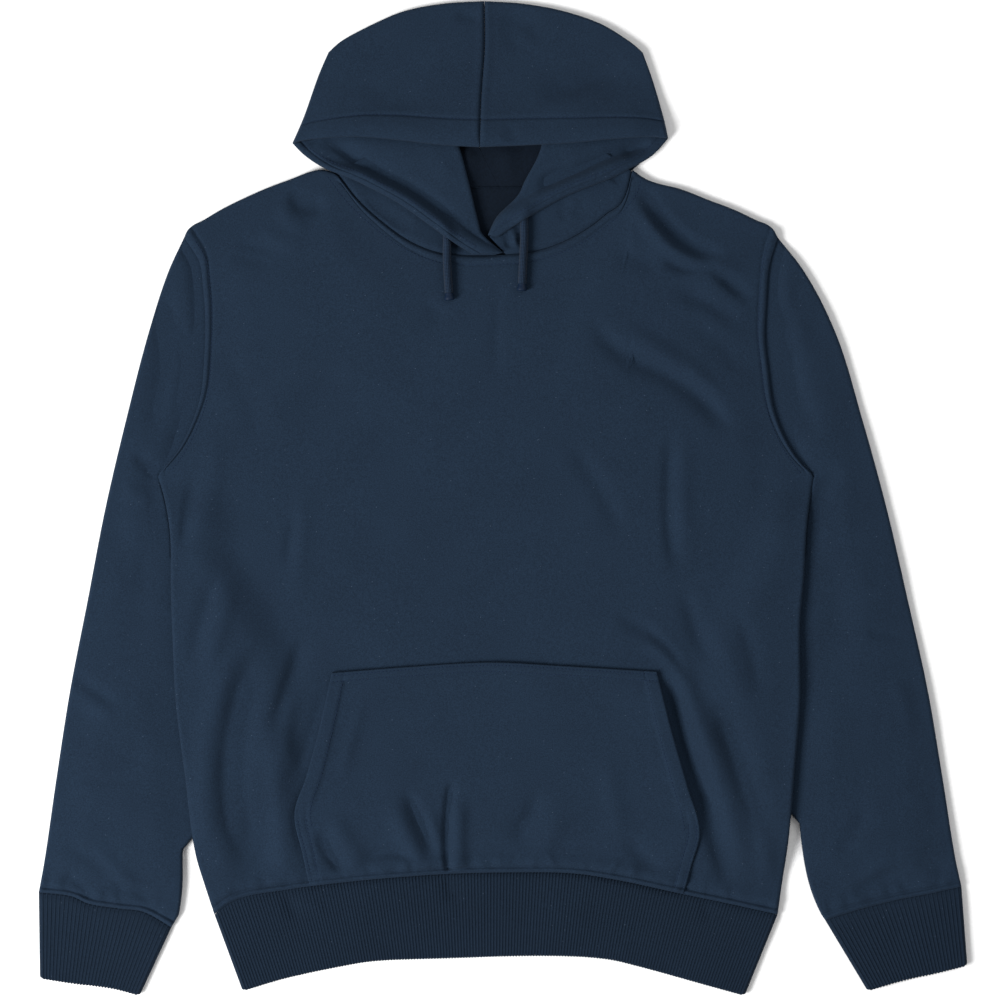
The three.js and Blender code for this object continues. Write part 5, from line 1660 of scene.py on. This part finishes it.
@dataclass
class HoodHalf:
    """Half of the hood: crown and back in one wall, and the front folded over as a lapel."""

    hand: str
    look: bpy.types.Material
    inside: bpy.types.Material
    depth: float = 127.0
    casing: float = 24.0
    crown_rise: float = 8.6
    casing_wall: float = 4.4
    lapel_top: float = 9.2
    lapel_roll: float = 5.6
    stitch_inset: float = 7.4
    seam_lap: float = 1.6
    cord_lift: float = 4.4
    # where the painted shade inside the hood reaches: below this height, up to this place, and across between
    # these
    inside_below: float = 7.5
    inside_up_to: float = 335.0
    inside_from: float = -80.0
    inside_to: float = 62.0

    @property
    def sign(self) -> int:
        """-1 on the left and 1 on the right."""
        return -1 if self.hand == "left" else 1

    def crown_plan(self, share: Array, along: Array) -> Array:
        """Plan places of the crown: share 0 is the side fold, along 0 the face edge.

        Args:
            share: places from the side fold to the middle.
            along: places from the face edge to the crown.

        Returns:
            The places.
        """
        face, crown = Line(FACE_EDGE[self.hand]), Line(CROWN_FOLD[self.hand])
        side, middle = Line(HOOD_SIDE[self.hand]), Line(HOOD_MIDDLE)

        def chord(s: Array) -> Array:
            """Straight places between face edge and crown."""
            a, b = face.at(s), crown.at(s)
            return a + (b - a) * along[..., None]

        off_side = side.at(along) - chord(np.zeros_like(share))
        off_middle = middle.at(along) - chord(np.ones_like(share))
        place = chord(share) + off_side * (1 - share)[..., None] + off_middle * share[..., None]
        place[..., 0] += self.sign * SEAM_GAP / 2 * share
        return place

    def neck_line(self, neck: list, low: float, high: float, lap: float = 0.0) -> Line:
        """The neck seam from one end to the other, just inside the hood.

        Args:
            neck: the seam's table.
            low: share where it starts.
            high: share where it ends.
            lap: how far it reaches past the seam.

        Returns:
            The line.
        """
        across = np.linspace(neck[0][0], neck[-1][0], 400)
        seam = Line(list(zip(across, track(neck, 0, 1, across))), smooth=False)
        return seam.beside(SEAM_GAP - lap).part(low, high)

    def crown(self) -> bpy.types.Object:
        """Crown, the back under it and the back under the mouth.

        Returns:
            The crown.
        """
        width = 158.0
        ends = np.array([0, 0.5, 1.1, 1.8, 2.6, 3.6, 5.0, 7.0, 10.0])
        seam = np.array([9, 7, 5.2, 3.8, 2.6, 1.7, 1.0, 0.5, 0])
        share = np.concatenate([ends / width, np.linspace(13 / width, 1 - 12 / width, 46), 1 - seam / width])
        near = np.array([0, 0.35, 0.8, 1.4, 2.2, 3.2, 4.6, 7, 10, 13.5, 17, 19.5, 21.2, 22.4, 23.2, 23.7,
                         24.1, 24.5, 25, 25.8, 27, 29])
        far = self.depth - np.array([7, 5, 3.6, 2.6, 1.8, 1.1, 0.5, 0])
        along = np.concatenate([near, np.linspace(32, self.depth - 10, 32), far]) / self.depth
        s, a = np.meshgrid(share, along)
        place = self.crown_plan(s, a)
        x, y = place[..., 0], place[..., 1]
        away, side_away, seam_away = a * self.depth, s * width, (1 - s) * width
        raised = 0.45 + 0.55 * ease(s, 0, 0.2)
        height = LAID + self.crown_rise * ease(a, 0.62, 0) * raised
        creases = CROWN_CREASES[self.hand]
        folds = (1.6 * relief(x, y, creases) + unevenness(x, y, 41 + self.sign, 0.5)) * ease(side_away, 0, 9)
        folds *= ease((1 - a) * self.depth, 0, 9)
        casing = 1.1 * bell(away, 11, 9) - 1.3 * bell(away, 24.1, 1.1) + 0.45 * bell(away, 28, 3)
        lip = -1.9 * fall(away, 3.2) / 3.2
        middle = -1.7 * bell(seam_away, 0, 1.1) + 0.5 * bell(seam_away, 4.0, 2.4)
        drop = fall(np.minimum(side_away, (1 - a) * self.depth), RADIUS)
        worked = folds + casing + lip + middle * ease(away, 0, 12)
        top = height - drop * (height - MIDDLE) / RADIUS + worked * (1 - drop / RADIUS)
        fold = (s == 0) | (a == 1)
        bottom = drop
        centre = (top + bottom) / 2
        top, bottom = np.where(fold, centre, top), np.where(fold, centre, bottom)
        wall_here = np.where(away < self.casing, self.casing_wall, FLEECE)
        in_top = np.where(fold, centre, np.minimum(height - wall_here, top - 0.6))
        in_bottom = np.where(fold, centre, np.maximum(FLEECE, bottom + 0.6))
        in_x = x - self.sign * FLEECE * (1 - s) ** 24
        in_y = y - FLEECE * a**24
        low_end, high_end = (0.01, 0.55) if self.hand == "left" else (0.55, 0.99)
        back = self.neck_line(BACK_NECK, low_end, high_end, self.seam_lap)
        at = share if self.hand == "left" else 1 - share
        face = Line(FACE_EDGE[self.hand]).at(share)
        low = back.at(at)
        downs = np.array([0.12, 0.3, 0.5, 0.7, 0.85, 0.93, 0.985, 1.0])
        back_xy = face[None] + (low - face)[None] * downs[:, None, None]
        # soft waves of the hood's back, seen in the mouth
        wave = 2.4 * bell(back_xy[..., 0], -30, 7) * ease(back_xy[..., 1], 262, 285) + 2.0 * bell(
            back_xy[..., 0], 4, 8) * ease(back_xy[..., 1], 262, 290)
        flat = np.zeros(back_xy.shape[:2])
        # the back's last row laps over the back panel's edge
        flat[-1] = FLEECE + 0.2
        thin = np.zeros(flat.shape)
        thin[-1] = FLEECE - 1.1
        outer = np.concatenate([np.stack([x, y, top], -1).reshape(-1, 3),
                                np.stack([x, y, bottom], -1).reshape(-1, 3),
                                np.stack([back_xy[..., 0], back_xy[..., 1], flat], -1).reshape(-1, 3)])
        inner = np.concatenate([np.stack([in_x, in_y, in_top], -1).reshape(-1, 3),
                                np.stack([in_x, in_y, in_bottom], -1).reshape(-1, 3),
                                np.stack([back_xy[..., 0], back_xy[..., 1],
                                          flat + FLEECE - thin + wave], -1).reshape(-1, 3)])
        rows, columns = s.shape
        half = rows * columns
        flip = self.hand == "right"
        upper = net_quads(rows, columns, flip=flip)
        across = np.arange(columns)
        order = np.concatenate([2 * half + np.arange(len(downs) - 1, -1, -1)[:, None] * columns + across,
                                half + np.arange(rows)[:, None] * columns + across])
        lower = net_quads(len(order), columns, flip=not flip)
        lower = order.reshape(-1)[lower]
        merged = np.arange(len(outer))
        grid = half + np.arange(half).reshape(rows, columns)
        merged[grid[:, 0]] = grid[:, 0] - half
        merged[grid[-1, :]] = grid[-1, :] - half
        quads = merged[np.concatenate([upper, lower])]
        points, faces = wall(outer, inner, quads)
        piece = make_piece(f"hood_{self.hand}_crown", points, faces, self.look)
        self.shade_inside(piece)
        return piece

    def shade_inside(self, piece: bpy.types.Object) -> None:
        """Paints shade deep inside the hood: faces there take the much darker look of the looped back.

        Args:
            piece: the crown.
        """
        piece.data.materials.append(self.inside)
        # painted shade: upward faces low in the hood's mouth take the much darker look
        for polygon in piece.data.polygons:
            place = polygon.center / MM
            if place.z < self.inside_below and polygon.normal.z > 0.2 and place.y < self.inside_up_to \
                    and self.inside_from < place.x < self.inside_to:
                polygon.material_index = 1

    def lapel(self) -> bpy.types.Object:
        """The hood's front, up from the neck seam and folded over to its free edge.

        Returns:
            The hood's front.
        """
        rows = 92
        along = np.linspace(0, 1, rows)
        fold_line, edge_line = Line(LAPEL_FOLD[self.hand]), Line(LAPEL_EDGE[self.hand])
        ends = (0.004, 0.52) if self.hand == "left" else (0.55, 0.996)
        neck = self.neck_line(FRONT_NECK, *ends)
        fold, edge = fold_line.at(along), edge_line.at(along)
        seam = neck.at(along if self.hand == "left" else 1 - along)
        reach = np.linalg.norm(fold - edge, axis=1)
        over = np.array([0, 0.4, 0.9, 1.6, 2.4, 3.4, 4.6, 5.6, 6.3, 6.9, 7.4, 7.9, 8.5, 9.4, 11])
        flat = np.linspace(0, 1, 30)
        round_off = np.array([3.6, 2.6, 1.8, 1.1, 0.6, 0.25])
        grid_over = []
        for i in range(rows):
            r = max(reach[i], 8.0)
            k = min(1.0, r / 22)
            inner_run = 13 * k + (r - 13 * k - 5 * k) * flat
            grid_over.append(np.concatenate([over * k, inner_run, r - round_off * k]) / r)
        share = np.array(grid_over)
        xy = edge[:, None] + (fold - edge)[:, None] * share[..., None]
        x, y = xy[..., 0], xy[..., 1]
        a = np.broadcast_to(along[:, None], x.shape)
        far = share * np.maximum(reach, 8.0)[:, None]
        to_fold = (1 - share) * np.maximum(reach, 8.0)[:, None]
        crest = np.sin(math.pi * np.clip((far + 4.0) / 31.0, 0, 1)) ** 0.8
        roll = self.lapel_roll * crest * ease(a, 0.02, 0.3) * ease(a, 1.25, 0.75)
        drop = 3.4 * ease(a, 0.3, 0) * ease(share, 0.75, 0)
        dress = -0.8 * bell(far, self.stitch_inset, 1.0) - 1.6 * fall(far, 2.6) / 2.6
        folds = relief(x, y, LAPEL_CREASES[self.hand]) + unevenness(x, y, 51 + self.sign, 0.35)
        drop_fold = fall(to_fold, 3.6) / 3.6
        middle = (self.lapel_top + LAID - FLEECE) / 2
        over_cord = self.cord_lift * bell(x, CORD_ROUTE[self.hand][0][0], 7.5) * ease(far, 22, 4)
        z = self.lapel_top + roll - drop + dress + over_cord + folds * ease(far, 0, 8) * ease(to_fold, 0, 6)
        z = z - drop_fold * (z - middle - 0.4)
        z_in = np.minimum(self.lapel_top - FLEECE - drop, z - 0.7)
        outer = [np.stack([x, y, z], -1)]
        inner = [np.stack([x, y, z_in], -1)]
        drawn_in = FLEECE / np.maximum(8.0, np.linalg.norm(seam - fold, axis=1))
        inside = fold + (seam - fold) * drawn_in[:, None]
        outer.append(np.concatenate([fold, np.full((rows, 1), middle)], 1)[:, None])
        inner.append(np.concatenate([inside, np.full((rows, 1), middle)], 1)[:, None])
        below = np.array([0.03, 0.12, 0.3, 0.45, 0.55, 0.62, 0.68, 0.74, 0.8, 0.85, 0.89,
                          0.93, 0.96, 0.98, 0.992, 1.0])
        bxy = fold[:, None] + (seam - fold)[:, None] * below[None, :, None]
        to_seam = np.linalg.norm(seam - fold, axis=1)[:, None] * (1 - below)[None]
        lower = relief(bxy[..., 0], bxy[..., 1], UNDER_LAPEL_CREASES[self.hand]) + unevenness(
            bxy[..., 0], bxy[..., 1], 61 + self.sign, 0.2)
        front = (LAID + 0.5 * bell(to_seam, 6, 4) - 1.3 * bell(to_seam, 0, 1.2)
                 + 1.8 * lower * ease(to_seam, 0, 5))
        outer.append(np.stack([bxy[..., 0], bxy[..., 1], np.full(to_seam.shape, LAID - FLEECE)], -1))
        inner.append(np.stack([bxy[..., 0], bxy[..., 1], np.maximum(front, LAID - FLEECE + 0.4)], -1))
        out, inn = np.concatenate(outer, 1), np.concatenate(inner, 1)
        quads = net_quads(rows, out.shape[1], flip=self.hand == "left")
        points, quads = wall(out.reshape(-1, 3), inn.reshape(-1, 3), quads)
        return make_piece(f"hood_{self.hand}_front", points, quads, self.look)


CROWN_CREASES = {
    "left": (
        Crease(((-42, 412), (-30, 414), (-19, 410)), 4, -1.3),
        Crease(((-130, 356), (-100, 346), (-62, 336)), 12, -0.9),
        Crease(((-150, 320), (-110, 322), (-60, 318)), 8, 0.6),
    ),
    "right": (
        Crease(((-6, 419), (10, 410), (26, 402), (36, 388)), 9, -1.3, 0.2),
        Crease(((-4, 408), (8, 396), (14, 380)), 8, -0.9),
        Crease(((24, 342), (52, 352), (84, 362), (112, 374)), 10, -1.9, 0.2),
        Crease(((20, 330), (60, 336), (100, 348)), 9, 0.8),
        Crease(((6, 322), (8, 312), (6, 304)), 5, -0.9),
    ),
}
LAPEL_CREASES = {
    "left": (
        Crease(((-160, 307), (-148, 304), (-127, 291), (-106, 278), (-84, 267), (-63, 253),
                (-46, 240), (-34, 227)),
               5.5, -5.2, 0.25, 0.2),
        Crease(((-152, 316), (-120, 304), (-84, 294), (-56, 280)), 9, 1.4),
        Crease(((-160, 296), (-138, 288), (-118, 281)), 4.5, -2.6),
        Crease(((-176, 303), (-166, 306), (-158, 309)), 3.5, -1.8),
        Crease(((-72, 300), (-52, 286), (-40, 268)), 9, 1.2),
    ),
    "right": (
        Crease(((128, 303), (112, 300), (90, 292), (64, 281), (44, 272), (26, 260)), 5.2, -4.6, -0.2, 0.2),
        Crease(((130, 306), (114, 300), (100, 294)), 6, -3.0),
        Crease(((60, 286), (42, 278), (28, 268)), 4, -1.6),
        Crease(((98, 300), (70, 294), (46, 290)), 8, 1.1),
    ),
}
UNDER_LAPEL_CREASES = {
    "left": (
        Crease(((-126, 262), (-100, 244), (-74, 226)), 7, -1.4),
        Crease(((-50, 226), (-40, 218), (-30, 212)), 5, -1.2),
    ),
    "right": (
        Crease(((3, 232), (4, 222), (6, 213)), 2.6, -1.8),
        Crease(((9, 234), (10, 224), (11, 214)), 2.8, 1.2),
        Crease(((15, 236), (14, 226), (16, 214)), 2.6, -1.4),
        Crease(((56, 262), (52, 248), (50, 236)), 3.5, -1.1),
        Crease(((68, 262), (66, 250), (60, 238)), 6, -0.7),
        Crease(((104, 280), (98, 276), (92, 272)), 5, -1.5),
    ),
}


def build_stitches(looks: Wardrobe, pocket: Pocket, front: Surface, pocket_top: Surface, crown: Surface,
                   lapels: Surface) -> None:
    """Lays the topstitched rows on their pieces.

    Args:
        looks: all finishes.
        pocket: the pocket's sizes.
        front: surface of the front panel.
        pocket_top: surface of the pocket.
        crown: surface of the crowns.
        lapels: surface of the hood's fronts.
    """
    tree, keys = stitch_tree(looks.thread)
    neck = Line(FRONT_NECK)
    arms = {hand: Line(ARMHOLE[hand]) for hand in ("left", "right")}
    rows = {
        "stitches_neck": (front, [neck.beside(-8.0)]),
        "stitches_armholes": (front, [arms["left"].beside(-6.0).part(0.06, 0.96),
                                      arms["right"].beside(6.0).part(0.05, 0.96)]),
        "stitches_pocket": (pocket_top, [pocket.top_line(2.6), pocket.top_line(8.2)]
                            + [pocket.edge_line(hand, 12.6, 0.28, 0.955) for hand in ("left", "right")]
                            + [pocket.edge_line(hand, inset, 0.03, 0.3) for hand in ("left", "right")
                               for inset in (2.6, 9.0)]),
    }
    half_lines = []
    for hand in ("left", "right"):
        half = HoodHalf(hand, looks.fleece, looks.inside)
        share = np.linspace(0.015, 0.985, 70)
        casing = half.crown_plan(share, np.full(70, 24.1 / half.depth))
        half_lines.append(Line([tuple(p) for p in casing], smooth=False))
    rows["stitches_hood_casing"] = (crown, half_lines)
    rows["stitches_lapels"] = (lapels, [Line(LAPEL_EDGE["left"]).beside(7.4).part(0.08, 0.99),
                                        Line(LAPEL_EDGE["right"]).beside(-7.4).part(0.08, 0.98)])
    for name, (surface, lines) in rows.items():
        guides = []
        for line in lines:
            stops = np.linspace(0, 1, max(12, int(line.length / 3)))
            guides.append(surface.dropped(line.at(stops), 0.05))
        piece = grown(name, guides, tree, keys, {"Pitch": STITCH_PITCH * MM, "Length": STITCH_LENGTH * MM,
                                                 "Thread": THREAD_WIDTH * MM})
        finish_piece(piece, Slot.FLEECE)


def main() -> None:
    """Builds the garment and its studio."""
    logging.basicConfig(level=logging.INFO, format="%(message)s")
    looks = Wardrobe()
    studio = Studio()
    studio.camera()
    for hand in ("left", "right"):
        Drawcord(hand, looks).build()
    studio.build()

    back = BodyPanel("back_cloth", BACK_NECK, False, looks.fleece, spacing=5.2).build()
    # painted shade: the back panel's upper face, inside the garment and seen in the hood's mouth, takes the
    # much darker look
    back.data.materials.append(looks.inside)
    for polygon in back.data.polygons:
        if polygon.normal.z > 0.2:
            polygon.material_index = 1
    finish_piece(back, Slot.FLEECE, "back_body")
    front = BodyPanel("front_cloth", FRONT_NECK, True, looks.fleece).build()
    finish_piece(front, Slot.FLEECE, "front_body")
    for hand in ("left", "right"):
        sleeve = Sleeve(hand, looks.fleece).build()
        finish_piece(sleeve, Slot.FLEECE, f"sleeve_{hand}")

    tree, keys = rib_tree(looks.rib)
    hem_x = np.linspace(HEM_SEAM[0][0], HEM_SEAM[-1][0], 200)
    hem_seam = Line(list(zip(hem_x, track(HEM_SEAM, 0, 1, hem_x))), smooth=False)
    hem_creases = (
        Crease(((-186, -336), (-182, -350), (-172, -364)), 6, -1.6),
        Crease(((-172, -332), (-164, -346), (-150, -360)), 7, 0.7),
        Crease(((-46, -322), (-43, -336), (-40, -348)), 7, -1.8),
        Crease(((172, -344), (176, -354), (182, -364)), 8, -1.5),
        Crease(((60, -330), (58, -360), (62, -390)), 22, 0.5),
        Crease(((120, -350), (118, -380), (122, -398)), 16, -0.5),
    )
    bands = {"hem": RibBand("hem_band_knit", hem_seam, Line(HEM_FOLD), HEM_RIBS, looks.rib, 71, 110,
                            hem_creases)}
    for hand, seed in (("left", 72), ("right", 73)):
        bands[f"cuff_{hand}"] = RibBand(f"cuff_{hand}_knit", Line(CUFF_SEAM[hand]), Line(CUFF_FOLD[hand]),
                                        CUFF_RIBS, looks.rib, seed)
    nodes = {"hem": "hem_band", "cuff_left": "cuff_left", "cuff_right": "cuff_right"}
    for key, band in bands.items():
        wall_piece = band.build()
        ribs = grown(f"{key}_ribs", band.guides(), tree, keys, {"Rib radius": RIB_RADIUS * MM})
        finish_piece(wall_piece, Slot.RIB, nodes[key])
        finish_piece(ribs, Slot.RIB)

    pocket = Pocket(looks.fleece)
    pocket_piece = pocket.build()
    finish_piece(pocket_piece, Slot.FLEECE, "kangaroo_pocket")

    crowns, lapels = [], []
    for hand in ("left", "right"):
        half = HoodHalf(hand, looks.fleece, looks.inside)
        crown, lapel = half.crown(), half.lapel()
        finish_piece(crown, Slot.FLEECE, f"hood_{hand}_panel")
        finish_piece(lapel, Slot.FLEECE, f"hood_{hand}_panel")
        crowns.append(crown)
        lapels.append(lapel)
    build_stitches(looks, pocket, Surface(front), Surface(pocket_piece), Surface(*crowns), Surface(*lapels))


if __name__ == "__main__":
    main()
